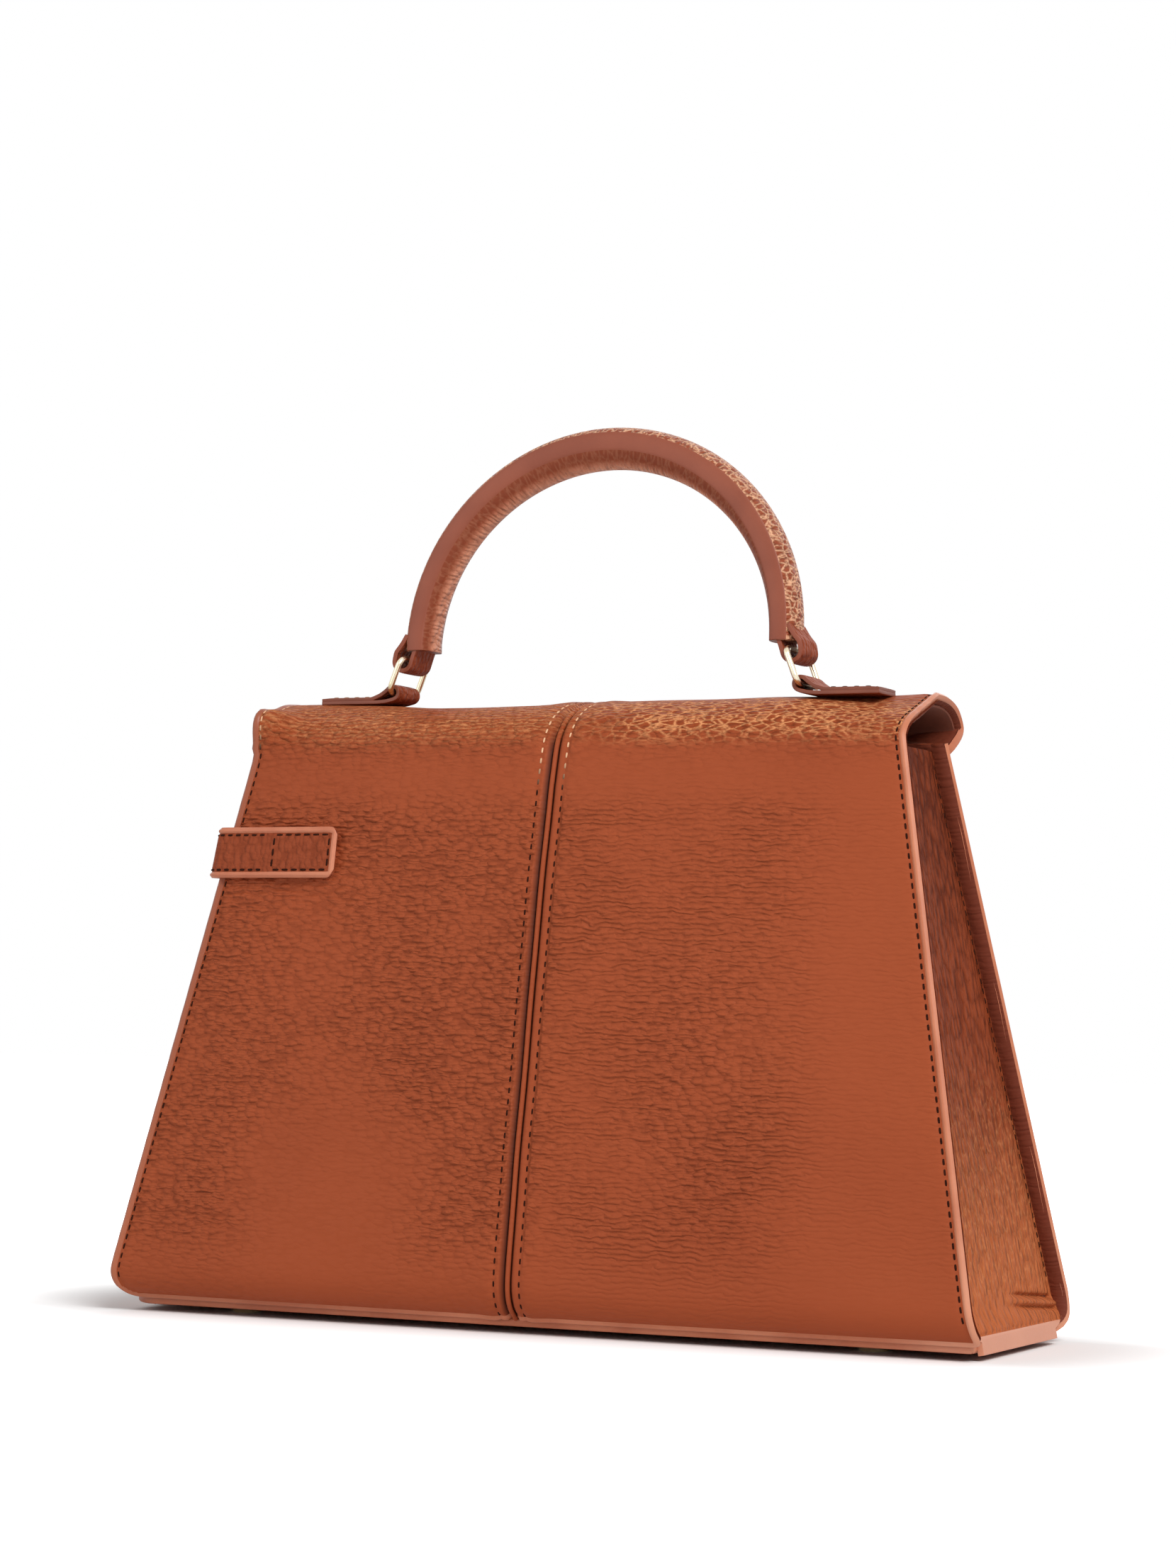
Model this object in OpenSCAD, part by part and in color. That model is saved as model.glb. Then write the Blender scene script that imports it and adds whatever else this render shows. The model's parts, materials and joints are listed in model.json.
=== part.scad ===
// Top handle bag: a trapezoid leather body on four low feet, a flap that folds over the top,
// a closure strap that comes round the left side, and an arched handle on two metal rings.
// Millimetres, +Z up, the front faces -Y, and the origin is on the floor under the bag's centre.
// Left and right are the bag's own, as seen from behind: left is +X.

/* [Body] */
// Width of the body at the bottom edge
base_w = 264; // [240:1:290]
// Width of the body at the top edge
top_w = 201; // [190:1:215]
// Height of the panels above the bag's bottom
body_h = 162; // [155:1:170]
// Depth of the body at the bottom, between the panels' outer faces
base_d = 88; // [84:1:100]
// Depth of the body at the top, between the panels' outer faces
top_d = 34.4; // [32:0.2:38]
// Thickness of the outer leather with its reinforcement
panel_t = 2.6; // [2.2:0.1:3]
// Thickness of the gusset leather
gusset_t = 1.6; // [1.2:0.1:2]
// How far the gussets sit inside the panels' side edges
gusset_recess = 3; // [2:0.5:5]
// Thickness of the lining
lining_t = 0.8; // [0.6:0.1:1]
// Radius of the panels' lower corners
corner_r = 8; // [4:1:12]
// Radius where the back panel turns under
rear_bend_r = 10; // [8:1:12]
// Radius where the front panel turns under
front_bend_r = 12; // [9:1:14]

/* [Centre seam] */
// Distance of the seam from the bag's centre line
seam_x = 1.5; // [0:0.5:3]
// Width of the raised welt in the seam
welt_w = 1.6; // [1.2:0.1:2.4]
// Gap on each side of the welt
welt_gap = 0.5; // [0.2:0.1:0.8]
// How far the welt's face lies below the panels' faces
welt_sink = 0.5; // [0.2:0.1:1]

/* [Flap] */
// Height of the flat deck under the handle, above the floor
deck_z = 177.2; // [176:0.2:179]
// Half width of the flap's front lobe
lobe_half_w = 58; // [50:1:62]
// Height of the lobe's lower edge
lobe_z = 104; // [98:1:112]
// Radius of the lobe's lower corners
lobe_r = 16; // [10:1:24]
// Thickness of the flap's outer leather
flap_t = 2.4; // [2:0.1:2.8]

/* [Handle] */
// Radius of the arch at the outer edge of the flat bands
handle_r = 59; // [57:0.5:61]
// Height of the arch's centre above the floor
handle_z = 195; // [194:0.5:197]
// Width of the handle across the bag's depth
handle_w = 13; // [11:0.5:14]
// Width of the flat painted band on each side
band_w = 4.8; // [4:0.2:5.6]
// How far the leather faces swell beyond the bands
dome_h = 2.2; // [1.5:0.1:2.6]
// Place of the handle and its tabs across the depth
handle_y = -4; // [-6:0.5:-3]

/* [Rings and tabs] */
// Diameter of the ring wire
wire_d = 2.2; // [2:0.1:2.4]
// Inner width of a ring, across the bag's depth
ring_w = 14.6; // [14.4:0.2:16]
// Distance of a ring's lower bar from the centre
ring_low_x = 64; // [62:0.5:66]
// Distance of a ring's upper bar from the centre
ring_top_x = 60.2; // [59:0.2:61]
// Height between a ring's two bars
ring_rise = 9.9; // [9:0.1:11]
// Thickness of a tab, two layers of leather
tab_t = 2.5; // [2.2:0.1:2.8]
// Outer end of a tab, from the centre
tab_end_x = 86.5; // [84:0.5:90]

/* [Closure] */
// Width of the closure strap
strap_w = 14; // [12:0.5:15]
// Thickness of the closure strap
strap_t = 2.6; // [2.2:0.1:3]
// Height of the strap's centre line
strap_z = 132; // [128:0.5:136]
// End of the strap on the back panel, from the centre
strap_rear_x = 70; // [64:1:80]
// Length of the turn lock's knob
knob_l = 11; // [9:0.5:12]
// Thickness of the turn lock's knob
knob_t = 3; // [2.4:0.2:3.4]

/* [Feet] */
// Height of the feet
foot_h = 2; // [1.5:0.5:4]
// Diameter of the feet
foot_d = 9; // [7:0.5:12]
// Distance of the feet from the centre, along the width
foot_x = 96; // [80:1:105]
// Distance of the feet from the centre, along the depth
foot_y = 22; // [16:1:24]

/* [Hidden] */
$fn = 48;

leather = [0.64, 0.33, 0.21];
leather_dark = [0.50, 0.25, 0.16];
edge_paint = [0.78, 0.49, 0.37];
lining_tan = [0.55, 0.35, 0.25];
board_grey = [0.45, 0.43, 0.40];
gold = [0.86, 0.76, 0.52];

eps = 0.01;
far = 400;
arc_steps = 10;

panel_z = foot_h;
top_z = foot_h + body_h;
lean = (base_d - top_d) / 2 / body_h;
lean_deg = atan(lean);
side_slope = (base_w - top_w) / 2 / body_h;
// Outer faces of the back panel and half width of the panels at a height
function rear_y(z) = base_d / 2 - lean * (z - panel_z);
function half_w(z) = base_w / 2 - side_slope * (z - panel_z);

function arc_points(c, r, from, to, n = arc_steps) =
    [for (i = [0 : n]) c + r * [cos(from + (to - from) * i / n), sin(from + (to - from) * i / n)]];
function bezier(p, n = arc_steps) =
    [for (i = [0 : n]) let (t = i / n, s = 1 - t)
        s * s * s * p[0] + 3 * s * s * t * p[1] + 3 * s * t * t * p[2] + t * t * t * p[3]];
function unit(v) = v / norm(v);
// A line of points moved sideways by d, to the left of its direction
function beside(pts, d) = let (last = len(pts) - 1)
    [for (i = [0 : last]) let (t = unit(pts[min(i + 1, last)] - pts[max(i - 1, 0)]))
        pts[i] + d * [-t[1], t[0]]];
function backwards(pts) = [for (i = [len(pts) - 1 : -1 : 0]) pts[i]];

// A shape drawn in depth and height, drawn out across the width
module across(x0, x1) {
    translate([x0, 0, 0])
        rotate([90, 0, 90])
            linear_extrude(x1 - x0) children();
}

// A shape drawn in width and height, drawn out through the depth
module through(y0, y1) {
    translate([0, y1, 0])
        rotate([90, 0, 0])
            linear_extrude(y1 - y0) children();
}

// Front view of the panels, with rounded lower corners
module panel_outline(inset = 0, z0 = panel_z, z1 = top_z, r = corner_r) {
    corner_turn = 90 - atan(side_slope);
    zc = z0 + r;
    xc = half_w(zc) - inset - r / cos(atan(side_slope));
    right_side = concat(arc_points([xc, zc], r, -90, 90 - corner_turn, 6),
                        [[half_w(z1) - inset, z1]]);
    left_side = [for (p = backwards(right_side)) [-p[0], p[1]]];
    polygon(concat(right_side, left_side));
}

// Side view of the bag's outer skin, drawn in by o on every side
rear_bend_z = panel_z + 1.6 + rear_bend_r;
rear_bend_y = rear_y(rear_bend_z) - rear_bend_r / cos(lean_deg);
front_bend_z = panel_z + front_bend_r;
front_bend_y = -(rear_y(front_bend_z) - front_bend_r / cos(lean_deg));
module body_side(o = 0, z1 = top_z) {
    slip = o / cos(lean_deg);
    rear_curve = arc_points([rear_bend_y, rear_bend_z], rear_bend_r - o, lean_deg, -90);
    front_curve = arc_points([front_bend_y, front_bend_z], front_bend_r - o, -90, -180 - lean_deg);
    polygon(concat([[rear_y(z1) - slip, z1]], rear_curve, front_curve, [[-rear_y(z1) + slip, z1]]));
}

// One of the two halves of a skin on either side of the seam, or the seam's welt
seam_half = welt_w / 2 + welt_gap;
module left_half() {
    intersection() {
        children();
        translate([seam_x + seam_half, -far / 2, 0]) cube([far, far, far]);
    }
}
module right_half() {
    intersection() {
        children();
        translate([seam_x - seam_half - far, -far / 2, 0]) cube([far, far, far]);
    }
}

// Skin between two depths, as wide as the panels
hinge_gap = 2.4;
skin_top = top_z - hinge_gap;
base_t = panel_t;
board_z = panel_z + base_t;
base_rear_y = round(rear_bend_y + 4.6) - 0.5;
base_half_w = half_w(panel_z) - 2.8;
// The back skin's foot rests on the base panel, behind the board
skin_foot_y = base_rear_y - 3.5;
module rear_skin(outer = 0, inner = panel_t) {
    intersection() {
        across(-far / 2, far / 2) difference() {
            body_side(outer, skin_top);
            body_side(inner, top_z + 1);
            translate([skin_foot_y - far, 0]) square([far, rear_bend_z]);
            translate([-far, 0]) square([far, far]);
            translate([0, 0]) square([far, board_z]);
        }
        through(0, far / 2) panel_outline();
    }
}
module front_skin(outer = 0, inner = panel_t) {
    intersection() {
        across(-far / 2, far / 2) difference() {
            body_side(outer, top_z);
            body_side(inner, top_z + 1);
            translate([front_bend_y, 0]) square([far, front_bend_z]);
            translate([0, 0]) square([far, far]);
        }
        through(-far / 2, 0) panel_outline();
    }
}
module seam_strip(outer, inner, z1) {
    across(seam_x - welt_w / 2, seam_x + welt_w / 2) difference() {
        body_side(outer, z1);
        body_side(inner, top_z + 1);
    }
}

module rear_panel_left() { color(leather) left_half() rear_skin(); }
module rear_panel_right() { color(leather) right_half() rear_skin(); }
module rear_welt() {
    color(edge_paint) difference() {
        seam_strip(welt_sink, panel_t, skin_top);
        translate([-far / 2, -far, 0]) cube([far, far, far]);
        translate([-far / 2, skin_foot_y - far, 0]) cube([far, far, rear_bend_z]);
        translate([-far / 2, 0, 0]) cube([far, far, board_z]);
    }
}
module front_panel_left() { color(leather) left_half() front_skin(); }
module front_panel_right() { color(leather) right_half() front_skin(); }
module front_welt() {
    color(edge_paint) difference() {
        seam_strip(welt_sink, panel_t, top_z);
        translate([-far / 2, 0, 0]) cube([far, far, far]);
        translate([-far / 2, front_bend_y, 0]) cube([far, far, front_bend_z]);
    }
}

// Gusset: upright leather between the panels, flared out at the bottom to meet their edge
gusset_top = top_z - 2.5;
flare_z = board_z + 7;
function gusset_x(z) = half_w(z) - gusset_recess;
module gusset() {
    outer_line = concat(
        bezier([[base_half_w, board_z], [base_half_w - 0.8, board_z + 2],
                [gusset_x(flare_z) + 0.3, flare_z - 2], [gusset_x(flare_z), flare_z]], 6),
        [[gusset_x(gusset_top), gusset_top]]);
    inner_line = backwards(beside(outer_line, gusset_t));
    intersection() {
        through(-far / 2, far / 2) intersection() {
            polygon(concat(outer_line, inner_line));
            translate([0, board_z]) square([far, far]);
        }
        across(0, far) gusset_side();
    }
}
// Side view of the gusset, between the skins' inner faces and down to the base panel
module gusset_side() {
    o = panel_t + 0.02;
    slip = o / cos(lean_deg);
    foot_angle = -acos((skin_foot_y - rear_bend_y) / (rear_bend_r - o));
    polygon(concat([[rear_y(top_z) - slip, top_z]],
                   arc_points([rear_bend_y, rear_bend_z], rear_bend_r - o, lean_deg, foot_angle),
                   [[skin_foot_y - 0.02, board_z], [front_bend_y, board_z]],
                   arc_points([front_bend_y, front_bend_z], front_bend_r - o, -90, -180 - lean_deg),
                   [[-rear_y(top_z) + slip, top_z]]));
}
module gusset_left() { color(leather) gusset(); }
module gusset_right() { color(leather) mirror([1, 0, 0]) gusset(); }

// Bottom: leather outside, a stiff board inside, and the feet through both
board_t = 1.8;
board_inset_x = 9;
shank_d = 2.4;
module foot_places() {
    for (sx = [-1, 1], sy = [-1, 1]) translate([sx * foot_x, sy * foot_y, 0]) children();
}
module base_panel() {
    color(edge_paint) difference() {
        translate([-base_half_w, front_bend_y, panel_z])
            cube([2 * base_half_w, base_rear_y - front_bend_y, base_t]);
        foot_places() translate([0, 0, panel_z - 1]) cylinder(d = shank_d + 0.1, h = base_t + 2);
    }
}
module base_board() {
    color(board_grey) difference() {
        translate([-base_half_w + board_inset_x, front_bend_y, board_z])
            cube([2 * (base_half_w - board_inset_x), skin_foot_y - front_bend_y, board_t]);
        foot_places() translate([0, 0, board_z - 1]) cylinder(d = shank_d + 0.1, h = board_t + 2);
    }
}
washer_t = 0.6;
module feet() {
    dome = concat([[0, 0]], arc_points([foot_d / 2 - 1.4, 1.4], 1.4, -90, 0, 4),
                  [[foot_d / 2, foot_h], [shank_d / 2, foot_h],
                   [shank_d / 2, board_z + board_t + washer_t], [0, board_z + board_t + washer_t]]);
    color(gold) foot_places() rotate_extrude() polygon(dome);
}
module foot_washers() {
    color(gold) foot_places() translate([0, 0, board_z + board_t]) difference() {
        cylinder(d = 8, h = washer_t);
        translate([0, 0, -1]) cylinder(d = shank_d + 0.1, h = washer_t + 2);
    }
}

// Lining: a thin open bag inside the leather, resting on the board
lining_side_inset = gusset_recess + gusset_t + 0.1;
lining_floor = board_z + board_t + washer_t;
lining_top = top_z - 3;
module inner_space(o, z0, z1) {
    intersection() {
        across(-far / 2, far / 2) intersection() {
            body_side(panel_t + o, top_z + 1);
            translate([-far / 2, z0]) square([far, z1 - z0]);
        }
        through(-far / 2, far / 2) panel_outline(lining_side_inset + o, z0, z1, 5);
    }
}
module lining() {
    color(lining_tan) difference() {
        inner_space(0, lining_floor, lining_top);
        inner_space(lining_t, lining_floor + lining_t, top_z + 1);
    }
}

// Slip pocket: a leather-bound patch on the back of the lining, open at the top
pocket_w = 130;
pocket_h = 78;
pocket_t = 0.8;
pocket_slack = 0.8;
pocket_hem = 5;
pocket_floor = 48;
module pocket_slice(o, t, w0, z0, z1) {
    intersection() {
        across(-w0 / 2, w0 / 2) difference() {
            body_side(panel_t + lining_t + o, top_z);
            body_side(panel_t + lining_t + o + t, top_z + 1);
            translate([-far / 2, 0]) square([far / 2, far]);
        }
        translate([-far / 2, 0, z0]) cube([far, far, z1 - z0]);
    }
}
module inner_pocket() {
    color(leather_dark) difference() {
        pocket_slice(0, pocket_slack + pocket_t, pocket_w, pocket_floor, pocket_floor + pocket_h);
        pocket_slice(-eps, pocket_slack + eps, pocket_w - 2 * pocket_hem,
                     pocket_floor + pocket_hem, pocket_floor + pocket_h + 1);
    }
}

// Side view of the flap's outer face, from the hinge over the deck and down to the lobe's edge
hinge_y = rear_y(top_z) - 1.6;
hinge_z = top_z - 0.4;
roll_r = 1.6;
deck_back = 0;
deck_front = -12;
front_x = -32;
rise = bezier([[hinge_y + 1.6, hinge_z + 0.6], [15, 168.5], [7, deck_z - 1.4], [deck_back, deck_z]], 8);
brow = bezier([[deck_front, deck_z], [-22, deck_z], [-31, deck_z - 2.4], [front_x, deck_z - 13]], 8);
drop = bezier([[front_x, deck_z - 13], [front_x + 0.7, 150], [-27, 124], [-31.6, lobe_z - 6]], 8);
function tail(pts) = [for (i = [1 : len(pts) - 1]) pts[i]];
flap_line = concat(rise, brow, tail(drop));

// The flap's leather between two depths below its outer face
module flap_band(outer, inner) {
    polygon(concat(beside(flap_line, outer), backwards(beside(flap_line, inner))));
}

// Front view of the flap: full width over the top, then wings that narrow into the lobe
module flap_outline(inset = 0) {
    wing_z = 170;
    w_top = top_w / 2 - inset;
    w_low = lobe_half_w - inset;
    z_low = lobe_z + inset;
    wing = bezier([[w_low, 136], [w_low + 1, 152], [w_top - 4, 152], [w_top, wing_z]], 10);
    right_side = concat(arc_points([w_low - lobe_r, z_low + lobe_r], lobe_r, -90, 0, 6), wing,
                        [[w_top, top_z + 30]]);
    polygon(concat(right_side, [for (p = backwards(right_side)) [-p[0], p[1]]]));
}
module flap_skin(outer, inner, inset = 0) {
    difference() {
        intersection() {
            across(-far / 2, far / 2) flap_band(outer, inner);
            through(-far / 2, far / 2) flap_outline(inset);
        }
        flap_hinge_relief();
    }
}
// Room round the hinge roll, so that the flap's skins end on it
module flap_hinge_relief() {
    translate([-far / 2, hinge_y, hinge_z]) rotate([0, 90, 0]) cylinder(r = roll_r, h = far);
}
lock_post_z = strap_z;
module lock_hole(r) {
    translate([0, -far / 4, lock_post_z]) rotate([90, 0, 0]) cylinder(r = r, h = far, center = true);
}
stud_r = 1.65;
module flap_left() {
    color(leather) difference() {
        left_half() flap_skin(0, flap_t);
        lock_hole(stud_r + 0.05);
    }
}
module flap_right() {
    color(leather) difference() {
        right_half() flap_skin(0, flap_t);
        lock_hole(stud_r + 0.05);
    }
}
module flap_welt() {
    color(edge_paint) difference() {
        intersection() {
            flap_skin(welt_sink, flap_t);
            translate([seam_x - welt_w / 2, -far / 2, 0]) cube([welt_w, far, far]);
        }
        lock_hole(stud_r + 0.05);
    }
}
module flap_lining() {
    color(lining_tan) difference() {
        flap_skin(flap_t, flap_t + lining_t, 0.3);
        lock_hole(stud_r + 0.05);
    }
}
// The folded leather that the flap turns on
module flap_hinge_roll() {
    roll_half = half_w(hinge_z) - 0.5;
    color(leather) translate([-roll_half, hinge_y, hinge_z]) rotate([0, 90, 0])
        cylinder(r = roll_r, h = 2 * roll_half);
}

// Rings: wire frames that stand on the tabs and lean in towards the handle
wire_r = wire_d / 2;
fit = 0.05;
loop_wall = 1.3;
loop_r = wire_r + fit + loop_wall;
ring_low_z = deck_z + loop_r;
ring_top_z = ring_low_z + ring_rise;
ring_y = ring_w / 2 + wire_r;
side_wire_r = wire_r - 0.15;
module bar(a, b, r) {
    v = b - a;
    translate(a) rotate([0, acos(v[2] / norm(v)), atan2(v[1], v[0])]) cylinder(r = r, h = norm(v));
}
module ring() {
    low = [ring_low_x, 0, ring_low_z];
    high = [ring_top_x, 0, ring_top_z];
    side = [0, ring_y, 0];
    overrun = [0, wire_r, 0];
    translate([0, handle_y, 0]) {
        for (p = [low, high]) bar(p - side - overrun, p + side + overrun, wire_r);
        for (s = [-1, 1]) bar(low + s * side, high + s * side, side_wire_r);
    }
}
module ring_left() { color(gold) ring(); }
module ring_right() { color(gold) mirror([1, 0, 0]) ring(); }

// Tabs: a strip folded round the ring's lower bar and sewn flat on the deck
module tab() {
    outline = concat(arc_points([ring_low_x, ring_low_z], loop_r, 30, 270, 16),
                     [[tab_end_x, deck_z], [tab_end_x, deck_z + 0.6 * tab_t],
                      [tab_end_x - tab_t / 2, deck_z + tab_t], [ring_low_x + 4.6, deck_z + tab_t]]);
    color(leather_dark) translate([0, handle_y, 0]) difference() {
        through(-handle_w / 2, handle_w / 2) polygon(outline);
        bore(ring_low_x, ring_low_z, wire_r + fit);
    }
}
// A hole along the bag's depth
module bore(x, z, r) {
    translate([x, 0, z]) rotate([90, 0, 0]) cylinder(r = r, h = far, center = true);
}
module handle_tab_left() { tab(); }
module handle_tab_right() { mirror([1, 0, 0]) tab(); }

// Handle: two domed leather strips round a cord core, closed by flat painted bands
band_mid_r = handle_r - band_w / 2;
core_w = 8;
core_t = 3.6;
open_pivot_play = 0.45;
leg_end_z = ring_top_z + loop_r + open_pivot_play;
module dome_side(sign, flat) {
    half = handle_w / 2;
    swell_r = (half * half + dome_h * dome_h) / (2 * dome_h);
    intersection() {
        translate([flat + sign * (dome_h - swell_r), 0]) circle(r = swell_r, $fn = 96);
        translate([sign > 0 ? flat : flat - dome_h - 1, -half]) square([dome_h + 1, handle_w]);
    }
}
module strip_section(sign) {
    flat = band_mid_r + sign * band_w / 2;
    difference() {
        union() {
            translate([min(band_mid_r, flat), -handle_w / 2]) square([band_w / 2, handle_w]);
            dome_side(sign, flat);
        }
        core_section();
    }
}
module core_section() {
    translate([band_mid_r, 0]) {
        square([core_t, core_w - core_t], center = true);
        for (s = [-1, 1]) translate([0, s * (core_w - core_t) / 2]) circle(d = core_t);
    }
}
// A section in radius and depth, swept over the arch and down both legs
module arch() {
    translate([0, handle_y, handle_z]) {
        rotate([90, 0, 0]) rotate_extrude(angle = 180, $fn = 96) children();
        for (a = [0, 180]) rotate([0, 0, a]) translate([0, 0, leg_end_z - handle_z])
            linear_extrude(handle_z - leg_end_z) children();
    }
}
module handle_outer() { color(leather) arch() strip_section(1); }
module handle_inner() { color(leather) arch() strip_section(-1); }
module handle_core() { color(lining_tan) arch() core_section(); }

// End loops: the handle's leather, narrowed and folded round a ring's upper bar
module end_loop(hole_r) {
    leg_in = band_mid_r - band_w / 2 + 0.2;
    leg_out = band_mid_r + band_w / 2 - 0.1;
    half = handle_w / 2 - 0.4;
    outline = concat([[leg_in, leg_end_z]],
                     arc_points([ring_top_x, ring_top_z], hole_r + loop_wall, 210, 435, 16),
                     [[leg_out, leg_end_z]]);
    color(leather_dark) translate([0, handle_y, 0]) difference() {
        through(-half, half) polygon(outline);
        bore(ring_top_x, ring_top_z, hole_r);
    }
}
module handle_loop_left() { end_loop(wire_r + fit); }
module handle_loop_right() { mirror([1, 0, 0]) end_loop(wire_r + open_pivot_play); }

// A strap of rectangular section swept along stations of [middle, up, outward]
module ribbon(stations, w, t) {
    n = len(stations);
    corners = [for (s = stations) for (c = [[1, 0], [1, 1], [-1, 1], [-1, 0]])
        s[0] + s[1] * c[0] * w / 2 + s[2] * c[1] * t];
    sides = [for (i = [0 : n - 2]) for (k = [0 : 3]) let (a = 4 * i + k, b = 4 * i + (k + 1) % 4)
        each [[a, b, b + 4], [a, b + 4, a + 4]]];
    ends = [[3, 2, 1], [3, 1, 0], [4 * n - 4, 4 * n - 3, 4 * n - 2], [4 * n - 4, 4 * n - 2, 4 * n - 1]];
    polyhedron(corners, concat(sides, ends), convexity = 4);
}

// Closure strap: sewn on the back panel, then round the left side to the front corner
turn_x = half_w(strap_z - strap_w / 2) + 0.2;
turn_r = 1.5;
rear_face = rear_y(strap_z);
tongue_pin_y = -rear_face - 3.7;
tongue_pin_x = turn_x + strap_t / 2;
up_rear = [0, -sin(lean_deg), cos(lean_deg)];
up_side = unit([-side_slope, 0, 1]);
up_corner = cos(lean_deg) * [-side_slope, -lean, 1];
anchor_end_y = tongue_pin_y + strap_t / 2 + 0.35;
out_rear = [0, cos(lean_deg), sin(lean_deg)];
function mix(a, b, t) = unit((1 - t) * a + t * b);
module strap_anchor() {
    turn = [for (i = [0 : 6]) let (a = 90 - 15 * i)
        [[turn_x - turn_r + turn_r * cos(a), rear_face - turn_r + turn_r * sin(a), strap_z],
         up_corner, [cos(a), sin(a), 0]]];
    color(leather) ribbon(concat(
        [[[strap_rear_x, rear_face, strap_z], up_rear, out_rear],
         [[turn_x - turn_r - 6, rear_face, strap_z], up_rear, out_rear]],
        turn,
        [[[turn_x, 0, strap_z], up_side, [1, 0, 0]],
         [[turn_x, anchor_end_y + 8, strap_z], mix(up_side, [0, 0, 1], 0.6), [1, 0, 0]],
         [[turn_x, anchor_end_y, strap_z], [0, 0, 1], [1, 0, 0]]]), strap_w, strap_t);
}

// The tongue crosses the front and ends over the turn lock
tongue_back_y = -31.4;
tongue_tip_x = -14;
slot_l = 13;
slot_h = 7.2;
plate_t = 1;
plate_h = strap_w - 2;
module slot_shape(l, h) {
    intersection() {
        square([l, h], center = true);
        union() {
            square([l - h, h], center = true);
            for (s = [-1, 1]) translate([s * (l - h) / 2, 0]) circle(d = h);
        }
    }
}
module strap_tongue() {
    near_y = tongue_pin_y + strap_t / 2;
    color(leather) difference() {
        union() {
            ribbon([[[tongue_pin_x, near_y, strap_z], [0, 0, 1], [0, -1, 0]],
                    [[turn_x - 8, near_y - 0.5, strap_z], [0, 0, 1], [0, -1, 0]],
                    [[lobe_half_w + 4, tongue_back_y + 0.3, strap_z], [0, 0, 1], [0, -1, 0]],
                    [[lobe_half_w - 2, tongue_back_y, strap_z], [0, 0, 1], [0, -1, 0]],
                    [[tongue_tip_x + strap_w / 2, tongue_back_y, strap_z], [0, 0, 1], [0, -1, 0]]],
                   strap_w, strap_t);
            translate([tongue_tip_x + strap_w / 2, tongue_back_y, strap_z]) rotate([90, 0, 0])
                cylinder(d = strap_w, h = strap_t);
            translate([tongue_pin_x, tongue_pin_y, strap_z]) cylinder(d = strap_t, h = strap_w, center = true);
        }
        translate([0, tongue_back_y + 1, strap_z]) rotate([90, 0, 0])
            linear_extrude(strap_t + 2) slot_shape(slot_l + 1, slot_h + 0.6);
    }
}
module slot_plate() {
    color(gold) translate([0, tongue_back_y - strap_t, strap_z]) rotate([90, 0, 0])
        linear_extrude(plate_t) difference() {
            slot_shape(22, plate_h);
            slot_shape(slot_l, slot_h);
        }
}

// Turn lock: a base on the flap, a washer behind it, and the knob on its post
lock_base_t = 1;
lock_y = tongue_back_y + 0.4;
knob_back_y = tongue_back_y - strap_t - plate_t - 0.3;
knob_depth = 2.4;
post_r = 1.05;
lobe_back_y = -26.3;
washer_end_y = lobe_back_y + 0.6;
module turn_lock_base() {
    color(gold) translate([0, lock_y, strap_z]) rotate([-90, 0, 0]) difference() {
        union() {
            linear_extrude(lock_base_t) slot_shape(20, plate_h);
            cylinder(r = stud_r, h = washer_end_y - lock_y);
        }
        translate([0, 0, -1]) cylinder(r = post_r + fit, h = 3);
    }
}
module turn_lock_backing() {
    color(gold) translate([0, lobe_back_y, strap_z]) rotate([-90, 0, 0]) difference() {
        cylinder(r = 4.5, h = washer_end_y - lobe_back_y);
        translate([0, 0, -1]) cylinder(r = stud_r + fit, h = 3);
    }
}
module turn_lock_knob() {
    color(gold) translate([0, lock_y, strap_z]) rotate([90, 0, 0]) {
        translate([0, 0, -1.9]) cylinder(r = post_r, h = lock_y - knob_back_y + 2.2);
        translate([0, 0, lock_y - knob_back_y]) linear_extrude(knob_depth) slot_shape(knob_l, knob_t);
    }
}

rear_panel_left();
rear_panel_right();
rear_welt();
front_panel_left();
front_panel_right();
front_welt();
gusset_left();
gusset_right();
base_panel();
base_board();
feet();
foot_washers();
lining();
inner_pocket();
strap_anchor();
strap_tongue();
slot_plate();
flap_left();
flap_right();
flap_welt();
flap_lining();
flap_hinge_roll();
handle_tab_left();
handle_tab_right();
ring_left();
ring_right();
handle_outer();
handle_inner();
handle_core();
handle_loop_left();
handle_loop_right();
turn_lock_base();
turn_lock_backing();
turn_lock_knob();
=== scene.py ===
import json
from math import atan, cos, degrees, pi, radians, sin, sqrt

import bpy
import numpy as np
from mathutils import Matrix, Vector

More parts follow.
